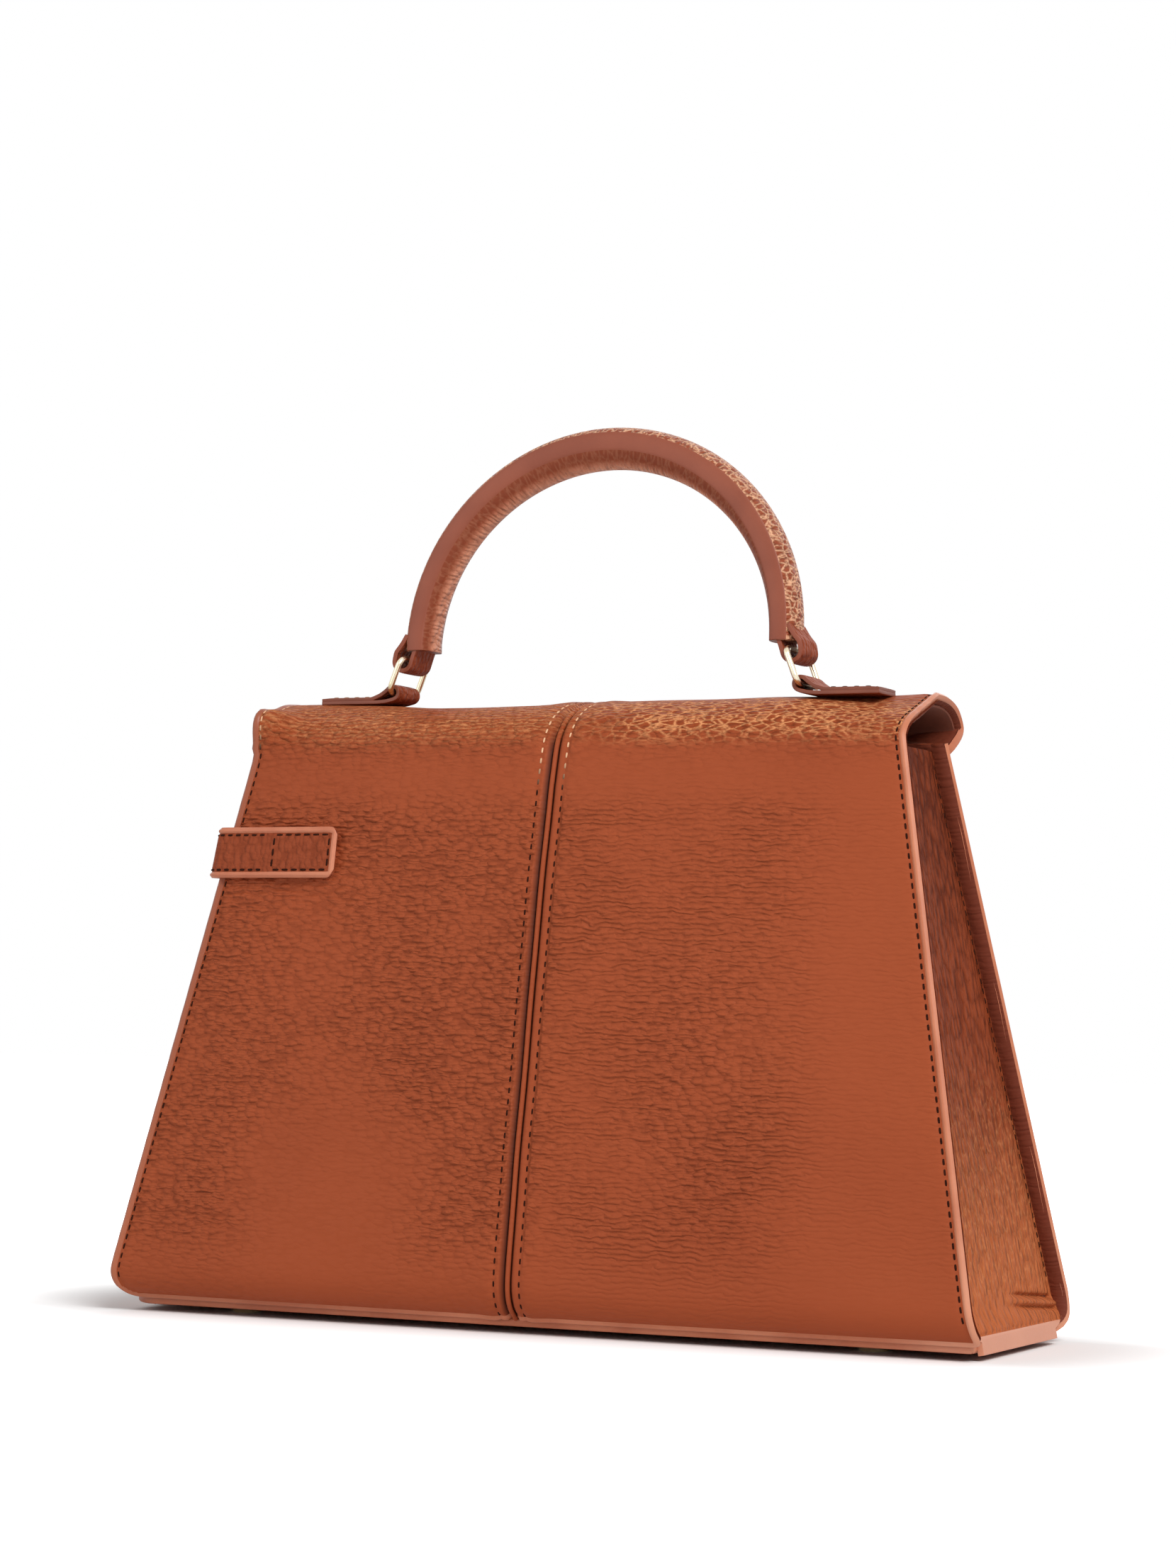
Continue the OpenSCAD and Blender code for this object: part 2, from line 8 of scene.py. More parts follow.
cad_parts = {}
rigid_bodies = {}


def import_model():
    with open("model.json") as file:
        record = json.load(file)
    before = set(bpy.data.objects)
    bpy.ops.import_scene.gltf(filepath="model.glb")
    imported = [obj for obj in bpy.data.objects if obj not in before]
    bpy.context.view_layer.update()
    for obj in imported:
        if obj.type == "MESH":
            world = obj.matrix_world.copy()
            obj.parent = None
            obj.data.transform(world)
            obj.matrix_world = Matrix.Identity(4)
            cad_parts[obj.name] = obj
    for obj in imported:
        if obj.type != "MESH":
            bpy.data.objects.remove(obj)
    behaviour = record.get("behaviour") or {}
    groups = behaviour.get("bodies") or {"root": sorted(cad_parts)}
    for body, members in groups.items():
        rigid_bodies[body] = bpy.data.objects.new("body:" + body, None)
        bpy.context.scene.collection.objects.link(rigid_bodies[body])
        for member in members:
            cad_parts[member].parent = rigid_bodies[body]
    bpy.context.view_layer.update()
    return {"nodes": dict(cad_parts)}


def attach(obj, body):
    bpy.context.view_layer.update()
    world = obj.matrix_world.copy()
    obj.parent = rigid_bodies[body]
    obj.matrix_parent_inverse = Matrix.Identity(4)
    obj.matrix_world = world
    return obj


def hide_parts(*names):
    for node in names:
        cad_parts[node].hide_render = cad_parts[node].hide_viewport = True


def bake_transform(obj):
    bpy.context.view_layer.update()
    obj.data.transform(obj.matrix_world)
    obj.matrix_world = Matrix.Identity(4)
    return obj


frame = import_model()
mm = 0.001


# selecting, finishing and joining

def dropSelection():
    if bpy.context.object and bpy.context.object.mode != "OBJECT":
        bpy.ops.object.mode_set(mode="OBJECT")
    for obj in bpy.context.view_layer.objects:
        obj.select_set(False)
    bpy.context.view_layer.objects.active = None


def pick(obj):
    dropSelection()
    obj.select_set(True)
    bpy.context.view_layer.objects.active = obj


def applyAll(obj):
    pick(obj)
    for modifier in list(obj.modifiers):
        bpy.ops.object.modifier_apply(modifier=modifier.name)


def placeInMesh(obj):
    pick(obj)
    bpy.ops.object.transform_apply(location=True, rotation=True, scale=True)


def merged(obj, facesOut=True):
    pick(obj)
    bpy.ops.object.mode_set(mode="EDIT")
    bpy.ops.mesh.select_all(action="SELECT")
    bpy.ops.mesh.remove_doubles(threshold=0.00001)
    if facesOut:
        bpy.ops.mesh.normals_make_consistent(inside=False)
    bpy.ops.object.mode_set(mode="OBJECT")


def smooth(obj, turn=50):
    pick(obj)
    bpy.ops.object.shade_smooth_by_angle(angle=radians(turn))


def joined(parts, name):
    dropSelection()
    for part in parts:
        part.select_set(True)
    bpy.context.view_layer.objects.active = parts[0]
    if len(parts) > 1:
        bpy.ops.object.join()
    parts[0].name = name
    return parts[0]


def dress(obj, *finishes):
    # slots are filled in place, so that faces keep the number of their finish
    slots = obj.data.materials
    finishes = list(finishes) + [finishes[0]] * (len(slots) - len(finishes))
    for k, finish in enumerate(finishes):
        if k < len(slots):
            slots[k] = finish
        else:
            slots.append(finish)


def rounded(obj, width, segments, limit):
    lip = obj.modifiers.new("lip", "BEVEL")
    lip.width, lip.segments, lip.limit_method = width * mm, segments, "ANGLE"
    lip.angle_limit = radians(limit)
    applyAll(obj)


# lines in millimetres

def bezierLine(a, b, c, d, count=24):
    t = np.linspace(0, 1, count)[:, None]
    a, b, c, d = (np.array(p, float) for p in (a, b, c, d))
    return (1 - t) ** 3 * a + 3 * (1 - t) ** 2 * t * b + 3 * (1 - t) * t ** 2 * c + t ** 3 * d


def arcLine(centre, radius, start, end, count=16):
    turn = np.radians(np.linspace(start, end, count))
    return np.stack([centre[0] + radius * np.cos(turn), centre[1] + radius * np.sin(turn)], 1)


def boxLine(halfWide, low, high, radius, count):
    # a box with round corners, once round
    x, y = halfWide - radius, (low + radius, high - radius)
    centres = ((x, y[1]), (-x, y[1]), (-x, y[0]), (x, y[0]))
    return np.concatenate([arcLine(at, radius, 90 * k, 90 * k + 90, count) for k, at in enumerate(centres)])


def lengths(line):
    return np.concatenate([[0], np.cumsum(np.linalg.norm(np.diff(line, axis=0), axis=1))])


def spaced(line, step):
    gaps = np.linalg.norm(np.diff(line, axis=0), axis=1)
    line = line[np.concatenate([[True], gaps > 1e-6])]
    along = lengths(line)
    at = np.linspace(0, along[-1], max(2, int(round(along[-1] / step)) + 1))
    return np.stack([np.interp(at, along, line[:, k]) for k in range(line.shape[1])], 1)


def heading(line):
    run = np.gradient(line, axis=0)
    return run / np.linalg.norm(run, axis=1)[:, None]


def softened(line, reach):
    # a running average that rounds the kinks and keeps both ends
    fine = spaced(np.array(line, float), 0.4)
    width = int(reach / 0.4)
    pad = np.concatenate([2 * fine[0] - fine[width:0:-1], fine, 2 * fine[-1] - fine[-2:-width - 2:-1]])
    weights = np.hanning(2 * width + 3)[1:-1]
    weights /= weights.sum()
    return np.stack([np.convolve(pad[:, k], weights, "same")[width:-width] for k in range(line.shape[1])], 1)


def profileRows(line, coarse, fine, tight=None):
    # stations along a side view: close together where it bends, wider on the flats
    dense = spaced(line, 0.25)
    run = heading(dense)
    turn = np.linalg.norm(np.gradient(run, axis=0), axis=1) / 0.25
    step = np.where(turn > 0.012, fine, coarse)
    if tight is not None:
        step = np.where(tight(dense), fine, step)
    step = np.convolve(np.pad(step, 12, "edge"), np.ones(25) / 25, "valid")
    share = np.concatenate([[0], np.cumsum(0.25 / step)[:-1]])
    at = np.interp(np.linspace(0, share[-1], int(round(share[-1]))), share, np.arange(len(dense)))
    low = np.minimum(at.astype(int), len(dense) - 2)
    mix = (at - low)[:, None]
    place = dense[low] * (1 - mix) + dense[low + 1] * mix
    head = run[low] * (1 - mix) + run[low + 1] * mix
    head /= np.linalg.norm(head, axis=1)[:, None]
    return {"y": place[:, 0], "z": place[:, 1], "outY": head[:, 1], "outZ": -head[:, 0], "s": at * 0.25}


def refined(rows, extra):
    # the same side view with more stations where a border or crease needs them
    extra = np.array(extra, float)
    gap = np.abs(rows["s"][:, None] - extra[None, :]).min(1)
    s = np.sort(np.concatenate([rows["s"][gap > 0.3], extra]))
    return {**{key: np.interp(s, rows["s"], rows[key]) for key in ("y", "z", "outY", "outZ")}, "s": s}


def rowsAt(rows, s):
    return [np.interp(s, rows["s"], rows[key]) for key in ("y", "z", "outY", "outZ")]


def cutAway(share, radius):
    # how far a round corner stands in, at a share of its radius
    return radius * (1 - np.sqrt(1 - share ** 2 * 0.998))


def columnRuns(inner, outer, seamSteps, edgeSteps, between):
    # for each row: distances from the seam's edge, with set steps at both ends
    width = np.abs(outer - inner)
    nearSeam = np.array(seamSteps)[None, :] + 0 * width[:, None]
    nearEdge = width[:, None] - np.array(edgeSteps[::-1])[None, :]
    middle = np.linspace(0, 1, between + 2)[1:-1][None, :]
    span = nearEdge[:, :1] - nearSeam[:, -1:]
    runs = np.concatenate([nearSeam, nearSeam[:, -1:] + middle * span, nearEdge], 1)
    return inner + np.sign(np.mean(outer) - inner) * runs, runs


def peak(x, centre, width):
    return np.exp(-((x - centre) / width) ** 2)


def ease(x, low, high):
    t = np.clip((x - low) / (high - low), 0, 1)
    return t * t * (3 - 2 * t)


def nearest(x, s, line, chunk=4000):
    # distance of each point to a line, both on the flat leather
    flatX, flatS = x.reshape(-1), s.reshape(-1)
    out = np.empty(len(flatX))
    for start in range(0, len(flatX), chunk):
        part = slice(start, start + chunk)
        gap = (flatX[part, None] - line[None, :, 0]) ** 2 + (flatS[part, None] - line[None, :, 1]) ** 2
        out[part] = np.sqrt(gap.min(1))
    return out.reshape(x.shape)


def makeSheet(name, places, uvs, thick, roundness, facing, wrap=False, near=None, border=0.0):
    # a grid is laid on the worked-out places, given its wall inwards and rounded at its rim;
    # where it lies nearer to its rim than the border, it takes the second finish, inside the third
    rows, cols = places.shape[:2]
    r, c = rows // 2, cols // 2
    across, up = places[r, c + 1] - places[r, c], places[r + 1, c] - places[r, c]
    if np.dot(np.cross(across, up), facing) < 0:
        places, uvs = places[:, ::-1], uvs[:, ::-1]
        near = None if near is None else near[:, ::-1]
    dropSelection()
    bpy.ops.mesh.primitive_grid_add(x_subdivisions=cols - 1, y_subdivisions=rows - 1, size=1)
    obj = bpy.context.object
    obj.name = name
    obj.data.vertices.foreach_set("co", (places * mm).reshape(-1))
    corners = np.zeros(len(obj.data.loops), int)
    obj.data.loops.foreach_get("vertex_index", corners)
    obj.data.uv_layers.active.data.foreach_set("uv", (uvs.reshape(-1, 2)[corners] / 100).reshape(-1))
    obj.data.update()
    dress(obj, *[bpy.data.materials.get("plain") or bpy.data.materials.new("plain")] * 3)
    if near is not None:
        gap = near.reshape(-1)
        for polygon in obj.data.polygons:
            polygon.material_index = int(gap[list(polygon.vertices)].mean() < border)
    if wrap:
        merged(obj, facesOut=False)
    wall = obj.modifiers.new("wall", "SOLIDIFY")
    wall.thickness, wall.offset, wall.use_even_offset = thick * mm, -1, False
    wall.material_offset, wall.material_offset_rim = 2, int(near is None)
    if roundness:
        rounded(obj, roundness, 3, 55)
    applyAll(obj)
    smooth(obj, 60)
    return obj


def onSheet(sheet, x, s):
    # the place in space of a point on the flat leather
    row = np.clip(np.interp(s, sheet["s"], np.arange(len(sheet["s"]))), 0, len(sheet["s"]) - 1.001)
    out = np.zeros((len(row), 3))
    for n, (r, here) in enumerate(zip(row, x)):
        i = int(r)
        for k, weight in ((i, 1 - (r - i)), (i + 1, r - i)):
            line, cols = sheet["x"][k], np.arange(sheet["x"].shape[1])
            order = 1 if line[-1] > line[0] else -1
            c = np.interp(here, line[::order], cols[::order])
            j = int(min(c, len(cols) - 1.001))
            out[n] += weight * (sheet["places"][k, j] * (1 - c + j) + sheet["places"][k, j + 1] * (c - j))
    return out


bothSides = ((1, "Left"), (-1, "Right"))
print("helpers ready")


# the bag's main lines, as in the source

bag = {"bottomHalf": 132.0, "topHalf": 100.5, "bottomDeep": 44.0, "topDeep": 17.2,
       "bottomZ": 2.0, "topZ": 164.0, "seamX": 2.5, "handleY": -4.0}
sideSlope = (bag["bottomHalf"] - bag["topHalf"]) / 162
lean = (bag["bottomDeep"] - bag["topDeep"]) / 162
leanAngle = degrees(atan(lean))


# shader sockets that can be used in sums, and one maker for every other node

def plug(tree, slot, value):
    if isinstance(value, Signal):
        tree.links.new(value.end, slot)
    else:
        slot.default_value = value


class Signal:
    def __init__(self, tree, end):
        self.tree, self.end = tree, end

    def sum(self, operation, first, second=0.0, clamp=False):
        node = self.tree.nodes.new("ShaderNodeMath")
        node.operation, node.use_clamp = operation, clamp
        plug(self.tree, node.inputs[0], first)
        plug(self.tree, node.inputs[1], second)
        return Signal(self.tree, node.outputs[0])

    def __add__(self, other): return self.sum("ADD", self, other)
    def __radd__(self, other): return self.sum("ADD", other, self)
    def __sub__(self, other): return self.sum("SUBTRACT", self, other)
    def __rsub__(self, other): return self.sum("SUBTRACT", other, self)
    def __mul__(self, other): return self.sum("MULTIPLY", self, other)
    def __rmul__(self, other): return self.sum("MULTIPLY", other, self)
    def __pow__(self, other): return self.sum("POWER", self, other)

    def clamped(self): return self.sum("ADD", self, 0.0, clamp=True)
    def size(self): return self.sum("ABSOLUTE", self)

    def between(self, low, high):
        # 0 at low, 1 at high, eased
        t = self.sum("DIVIDE", self - low, high - low, clamp=True)
        return t * t * (3 - 2 * t)


class Finish:
    def __init__(self, name):
        self.material = bpy.data.materials.new(name)
        self.material.use_nodes = True
        self.tree = self.material.node_tree
        self.tree.nodes.clear()

    def node(self, kind, inputs=None, out=0, **settings):
        node = self.tree.nodes.new("ShaderNode" + kind)
        for key, value in settings.items():
            setattr(node, key, value)
        for slot, value in (inputs or {}).items():
            plug(self.tree, node.inputs[slot], value)
        return Signal(self.tree, node.outputs[out])

    def mix(self, factor, a, b):
        return self.node("Mix", {0: factor, 6: a, 7: b}, out=2, data_type="RGBA")

    def vec(self, operation, a, b):
        return self.node("VectorMath", {0: a, (3 if operation == "SCALE" else 1): b}, operation=operation)

    def noise(self, vector, scale, detail=2.0, out=0):
        return self.node("TexNoise", {"Vector": vector, "Scale": scale, "Detail": detail}, out=out)

    def bumped(self, height, strength, distance):
        return self.node("Bump", {"Height": height, "Strength": strength, "Distance": distance * mm})

    def parts(self, vector):
        return [self.node("SeparateXYZ", {0: vector}, out=k) for k in range(3)]

    def done(self, **sockets):
        shader = self.node("BsdfPrincipled", {key.replace("_", " "): value for key, value in sockets.items()})
        end = self.tree.nodes.new("ShaderNodeOutputMaterial")
        plug(self.tree, end.inputs["Surface"], shader)
        return self.material


def tint(red, green, blue):
    # a screen colour from 0 to 255, as the shader's linear one
    def linear(c):
        c /= 255
        return c / 12.92 if c <= 0.04045 else ((c + 0.055) / 1.055) ** 2.4
    return (linear(red), linear(green), linear(blue), 1.0)


def leatherFinish(name, look):
    # pebbles and long creases, cut by voronoi edges, on the piece's flat lengths
    f = Finish(name)
    uv = f.node("UVMap")
    x, s = f.parts(uv)[:2]
    drift = f.vec("SUBTRACT", f.noise(uv, 22.0, out=1), (0.5, 0.5, 0.5))
    patch, broad = f.noise(uv, 3.4), f.noise(uv, 1.5, 1.0)

    def laid(wide, tall, sway):
        return f.vec("ADD", f.vec("MULTIPLY", uv, (100 / wide, 100 / tall, 1)), f.vec("SCALE", drift, sway))

    def cells(out=0, feature="F1", **inputs):
        inputs = {"Vector": at, "Scale": 1.0, "Randomness": 0.85, **inputs}
        return f.node("TexVoronoi", inputs, out, feature=feature)

    at, longAt = laid(*look["cell"], look["drift"]), laid(*look["crease"], look["drift"] * 1.5)
    blob = cells(feature="SMOOTH_F1", Smoothness=0.12)
    tone = f.parts(cells(out=1))[0]
    web = cells(feature="DISTANCE_TO_EDGE", Scale=look["webScale"], Randomness=0.95)
    swirl, fine = f.noise(longAt, 1.0), f.noise(at, 2.4, 3.0)
    # creases run on as wavy lines that fork where the swirl turns them
    fullTurn = 628.3  # in the flat lengths' units of 100 mm
    crossing = s if look["crease"][0] > look["crease"][1] else x
    phase = crossing * (fullTurn / look["wave"]) + swirl * look["fork"]
    pebble = (1.12 - blob * blob * look["slopes"]).clamped()
    ridge = (phase.sum("SINE", phase) * 0.5 + 0.5) ** 0.6
    longShare = (patch.between(0.42, 0.62) * 0.5 + 0.5) * look["longShare"]
    strength = broad.between(0.2, 0.7) * 0.3 + 0.7
    if "back" in look:
        # where this hide lies smooth or full: a calm middle left, a calm right end, low and under the bend
        q = (x - 0.62) * (x - 0.62) * 6.5 + (s - 0.34) * (s - 0.34) * 4.6
        strength *= (1 - (1 - q).clamped().between(0.0, 1.0) * 0.85)
        strength *= (1 - (0.0 - x).between(0.66, 0.92) * 0.75 * (1 - s.between(1.5, 1.62)))
        strength *= (s.between(0.06, 0.34) * 0.85 + 0.15)
        under = (s - 1.53) * (s - 1.53) * 90.0
        strength *= (1 - (1 - under).clamped() * 0.75)
        strip = (x - 0.015) * (x - 0.015) * 620.0
        strength *= (1 - (1 - strip).clamped().between(0.0, 0.5) * 0.9)
        right = (0.0 - x).between(0.0, 0.1)
        centre = (1 - ((x + 0.5) * (x + 0.5) * 14.0 + (s - 0.7) * (s - 0.7) * 4.0)).clamped()
        longShare = (longShare * 0.7 + right * 0.3 * (1 - s.between(1.45, 1.6)) - centre * 0.35).clamped()
        strength = strength * (1 - right * (0.3 - centre * 0.2)) * (patch.between(0.3, 0.55) * 0.4 + 0.6)
        lit = s.between(1.60, 1.69) * (1 - s.between(1.80, 1.95))
        strength = (strength + lit * 0.6).clamped()
    if "glintShare" in look:
        # the handle: its outer dome has painted glints all over, its inner one is smooth and dark along the
        # bands, with a painted pale sheen in the middle
        outside = s.between(0.2, 0.21)
        off = (s - outside * 0.4).size()
        strength *= (1 - off.between(0.02, 0.045) * (1 - outside) * 0.9)
    strength *= look["relief"]
    cut = pebble * (1 - longShare) + ridge * longShare
    height = (cut + fine * 0.22) * strength
    mottle = ((tone * 0.5 + patch * 0.4) * strength).clamped() * look["toneShare"]
    shade = f.mix(mottle, look["base"], look["light"])
    shade = f.mix(broad.between(0.45, 0.75) * 0.25, shade, look["deep"])
    # painted shade in the creases, deeper where the relief is strong
    shade = f.mix((1 - cut) ** 1.6 * strength * look["creaseShade"], shade, look["dark"])
    if "back" in look:
        # painted shade along the seam's grooves, wider on the left one
        off = x - bag["seamX"] / 100
        grooveShade = (1 - (off.size() - 0.0105) * (130.0 - off.between(0.0, 0.001) * 60.0)).clamped()
        shade = f.mix(grooveShade * off.size().between(0.0068, 0.008) * 0.95, shade, look["grooveShade"])
        # painted light over the top bend, with painted glints along the grain's cell edges there
        shade = f.mix(lit * (0.45 + patch * 0.4), shade, look["litColour"])
        lines = (1 - (web * 6.0).clamped()) * (0.25 + right * 0.9) + (1 - ridge).clamped() * (1 - right) * 0.5
        lines = lines * lit * patch.between(0.25, 0.5) * fine.between(0.3, 0.55) * 0.95
        shade = f.mix(lines, shade, look["glint"])
    if "foot" in look:
        # painted light, golden where it meets the base; a painted shadow at the top under the flap; painted
        # glints low down
        shade = f.mix((1 - s.between(0.02, look["footTop"])) * 0.85, shade, look["foot"])
        shade = f.mix(s.between(0.85, 1.5) * (1.0 - cut * 0.6), shade, look["topShadow"])
        lines = (1 - (web * 7.0).clamped()) * (1 - s.between(0.5, 0.9)) * s.between(0.08, 0.2)
        shade = f.mix(lines * fine.between(0.4, 0.6) * 0.3, shade, look["glint"])
    if "glintShare" in look:
        # dark along the bands, a painted sheen down the inner dome's middle, painted glints over the outer
        # dome
        shade = f.mix(off.between(0.03, 0.05) * (1 - outside) * 0.35, shade, look["dark"])
        sheenMiddle = (1 - off.between(0.015, 0.045)) * (1 - outside) * (cut * 0.45 + 0.45)
        shade = f.mix(sheenMiddle, shade, look["sheen"])
        lines = 1 - (web * 5.0).clamped()
        glints = lines * (0.1 + outside * 0.9) * fine.between(0.3, 0.55)
        shade = f.mix(glints * look["glintShare"], shade, look["glint"])
        height = height + lines * outside * 0.5
    rough = look["rough"] + (1 - cut) * 0.15 + fine * 0.08 - patch * 0.05
    return f.done(Base_Color=shade, Roughness=rough, Normal=f.bumped(height, look["bump"], look["depth"]),
                  Coat_Weight=look["coat"], Coat_Roughness=0.28, Specular_IOR_Level=look["gloss"])


def paintFinish(name, base, light, rough=0.34, paintedLight=None):
    f = Finish(name)
    place = f.node("TexCoord", out=3)
    x, y, z = f.parts(place)
    wave, broad = f.noise(place, 900.0, 3.0), f.noise(place, 60.0)
    shade = f.mix((wave * 0.35 + broad.between(0.3, 0.7) * 0.65).clamped(), base, light)
    if paintedLight:
        # painted shade, darker towards the strap's side and upwards; painted light, palest along the right
        # foot
        shade = f.mix(x.between(0.02, 0.09) * (z.between(0.01, 0.09) * 0.5 + 0.5) * 0.85, shade, paintedLight[0])
        shade = f.mix((1 - z.between(0.004, 0.05)) * (0.0 - x).between(0.1, 0.125) * 0.7, shade, paintedLight[1])
    return f.done(Base_Color=shade, Roughness=rough + wave * 0.14,
                  Normal=f.bumped(wave * 0.5 + broad, 0.35, 0.15),
                  Coat_Weight=0.05, Coat_Roughness=0.25, Specular_IOR_Level=0.3)


def threadFinish(name, base, light, paintedLight):
    f = Finish(name)
    place = f.node("TexCoord", out=3)
    x, y, z = f.parts(place)
    ply = f.noise(place, 2600.0)
    shade = f.mix(ply.between(0.3, 0.75), base, light)
    # painted highlight, paler over the bend, from higher up at its left end, and not at its right end
    high = (z - x.between(0.03, 0.06) * 0.012).between(0.149, 0.161)
    shade = f.mix(high * y.between(-0.002, 0.004) * x.between(-0.03, -0.01) * 0.9, shade, paintedLight)
    return f.done(Base_Color=shade, Roughness=0.6 + ply * 0.2, Normal=f.bumped(ply, 0.5, 0.08),
                  Specular_IOR_Level=0.05)


def clothFinish(name, base, light, weave=1500.0):
    f = Finish(name)
    place = f.node("TexCoord", out=3)
    x, y, z = f.parts(place)
    warp = (x * weave + y * weave).sum("SINE", x * weave + y * weave)
    weft = (z * weave).sum("SINE", z * weave)
    fuzz, slow = f.noise(place, 700.0, 3.0), f.noise(place, 18.0)
    height = warp * 0.25 + weft * 0.25 + fuzz * 0.5
    shade = f.mix((fuzz * 0.6 + slow * 0.4).clamped(), base, light)
    return f.done(Base_Color=shade, Roughness=0.82 + fuzz * 0.1, Normal=f.bumped(height, 0.4, 0.12))


def metalFinish(name, base, light):
    f = Finish(name)
    place = f.node("TexCoord", out=3)
    haze = f.noise(place, 90.0)
    lines = f.noise(f.vec("MULTIPLY", place, (1.0, 0.15, 1.0)), 3000.0)
    shade = f.mix(haze.between(0.3, 0.7), base, light)
    return f.done(Base_Color=shade, Metallic=1.0, Roughness=0.14 + haze * 0.12 + lines * 0.05,
                  Normal=f.bumped(lines, 0.06, 0.02))


def boardFinish(name, base, light):
    f = Finish(name)
    place = f.node("TexCoord", out=3)
    fibre = f.node("TexNoise", {"Vector": place, "Scale": 420.0, "Detail": 4.0, "Roughness": 0.7})
    shade = f.mix(fibre.between(0.35, 0.7), base, light)
    return f.done(Base_Color=shade, Roughness=0.86, Normal=f.bumped(fibre, 0.3, 0.1))


hide = {"base": tint(155, 73, 41), "deep": tint(136, 60, 32), "light": tint(170, 86, 51),
        "dark": tint(92, 36, 18), "litColour": tint(150, 66, 28), "glint": tint(224, 152, 100),
        "grooveShade": tint(44, 14, 7), "cell": (2.8, 1.4), "crease": (6.5, 3.6), "wave": 1.45, "fork": 15.0,
        "webScale": 0.75, "drift": 0.4, "slopes": 1.9, "longShare": 0.5, "toneShare": 0.3, "relief": 1.0,
        "creaseShade": 0.55, "bump": 1.0, "depth": 1.0, "rough": 0.5, "coat": 0.0, "gloss": 0.12}
backLeather = leatherFinish("grainedBack", {**hide, "back": True})
frontLeather = leatherFinish("grainedFront", {**hide, "relief": 0.8})
sideLeather = leatherFinish("grainedSide", {
    **hide, "cell": (2.5, 4.4), "crease": (4.0, 12.0), "wave": 2.3, "longShare": 0.3, "webScale": 1.1,
    "base": tint(134, 60, 32), "deep": tint(106, 44, 24), "creaseShade": 0.75, "depth": 1.5, "gloss": 0.05,
    "foot": tint(190, 104, 60), "footTop": 0.8, "topShadow": tint(90, 38, 22)})
handleLeather = leatherFinish("grainedHandle", {
    **hide, "cell": (1.7, 2.4), "crease": (4.0, 12.0), "wave": 1.5, "base": tint(142, 66, 38),
    "light": tint(164, 84, 52), "rough": 0.36, "gloss": 0.2, "depth": 0.8, "glintShare": 0.85,
    "webScale": 1.0, "sheen": tint(214, 146, 116), "glint": tint(246, 190, 150)})
strapLeather = leatherFinish("grainedStrap", {
    **hide, "relief": 0.6, "base": tint(140, 64, 36), "cell": (1.6, 2.4), "longShare": 0.2})
# darker leather for the inside faces: painted shade for the bag's shaded inside
innerLeather = leatherFinish("innerLeather", {
    **hide, "relief": 0.25, "base": tint(112, 52, 35), "deep": tint(92, 42, 28), "light": tint(126, 62, 42)})
edgePaint = paintFinish("paintedEdge", tint(176, 98, 66), tint(200, 126, 92),
                        paintedLight=(tint(142, 72, 46), tint(214, 148, 118)))
strapPaint = paintFinish("paintedStrapEdge", tint(176, 98, 68), tint(204, 130, 98))
bandPaint = paintFinish("paintedBand", tint(128, 64, 44), tint(144, 76, 54), rough=0.4)
tabPaint = paintFinish("paintedTab", tint(112, 58, 42), tint(134, 74, 54), rough=0.36)
thread = threadFinish("thread", tint(34, 14, 8), tint(60, 28, 18), tint(238, 190, 150))
liningCloth = clothFinish("liningCloth", tint(98, 48, 32), tint(126, 66, 45))
coreCord = clothFinish("coreCord", tint(196, 178, 150), tint(220, 206, 184), weave=2400.0)
goldMetal = metalFinish("paleGold", tint(226, 208, 172), tint(242, 230, 204))
cardBoard = boardFinish("cardBoard", tint(112, 104, 94), tint(150, 142, 130))

print("finishes ready")


# camera, floor and light

view = {"turn": 25.43, "pitch": 3.63, "roll": 1.12, "focal": 5045.0, "tall": 2212,
        "place": (-434.2, 916.0, 88.2)}
lightSet = {"sky": 0.38, "key": 24.0, "fill": 5.0, "rim": 5.0, "aim": (0, 0, 0.1)}
ground = {"near": 0.3, "inner": 0.9, "outer": 1.4}  # the floor's whiteness, and where it turns full

head = Vector((sin(radians(view["turn"])) * cos(radians(view["pitch"])),
               -cos(radians(view["turn"])) * cos(radians(view["pitch"])), sin(radians(view["pitch"]))))
right = Vector((head.y, -head.x, 0)).normalized()
up = right.cross(head)
roll = radians(view["roll"])
across = cos(roll) * right + sin(roll) * up
above = -sin(roll) * right + cos(roll) * up
dropSelection()
bpy.ops.object.camera_add(location=Vector(view["place"]) * mm)
camera = bpy.context.object
turnFrame = Matrix((across, above, -head)).transposed().to_4x4()
camera.matrix_world = Matrix.Translation(Vector(view["place"]) * mm) @ turnFrame
camera.data.sensor_width, camera.data.sensor_fit = 36, "AUTO"
camera.data.lens = view["focal"] * 36 / view["tall"]
camera.data.clip_end = 30
camera.data.dof.use_dof = False
bpy.context.scene.camera = camera
bpy.context.scene.view_settings.view_transform = "Standard"

dropSelection()
bpy.ops.mesh.primitive_plane_add(size=8, location=(0, 0, 0))
floor = bpy.context.object
floor.name = "floor"
placeInMesh(floor)
f = Finish("paleFloor")
place = f.node("TexCoord", out=3)
cloud = f.noise(place, 4.0)
fx, fy, fz = f.parts(place)
away = (fx * fx * 40.0 + fy * fy * 90.0) ** 0.5
# no glow over the bag's footprint and a band round it: a painted darker floor there, a painted contact shadow
beside = (fx.size() * 40.0 - 5.0).sum("MAXIMUM", fy.size() * 40.0 - 1.4).clamped()
seenWhite = f.node("LightPath") * (away.between(ground["inner"], ground["outer"]) * (1 - ground["near"])
                                   + beside * ground["near"])
dress(floor, f.done(Base_Color=f.mix(cloud, (0.93, 0.93, 0.93, 1), (0.97, 0.97, 0.97, 1)), Roughness=0.6,
                    Specular_IOR_Level=0.0, Emission_Color=f.mix(seenWhite, (0, 0, 0, 1), (1, 1, 1, 1)),
                    Emission_Strength=1.0))

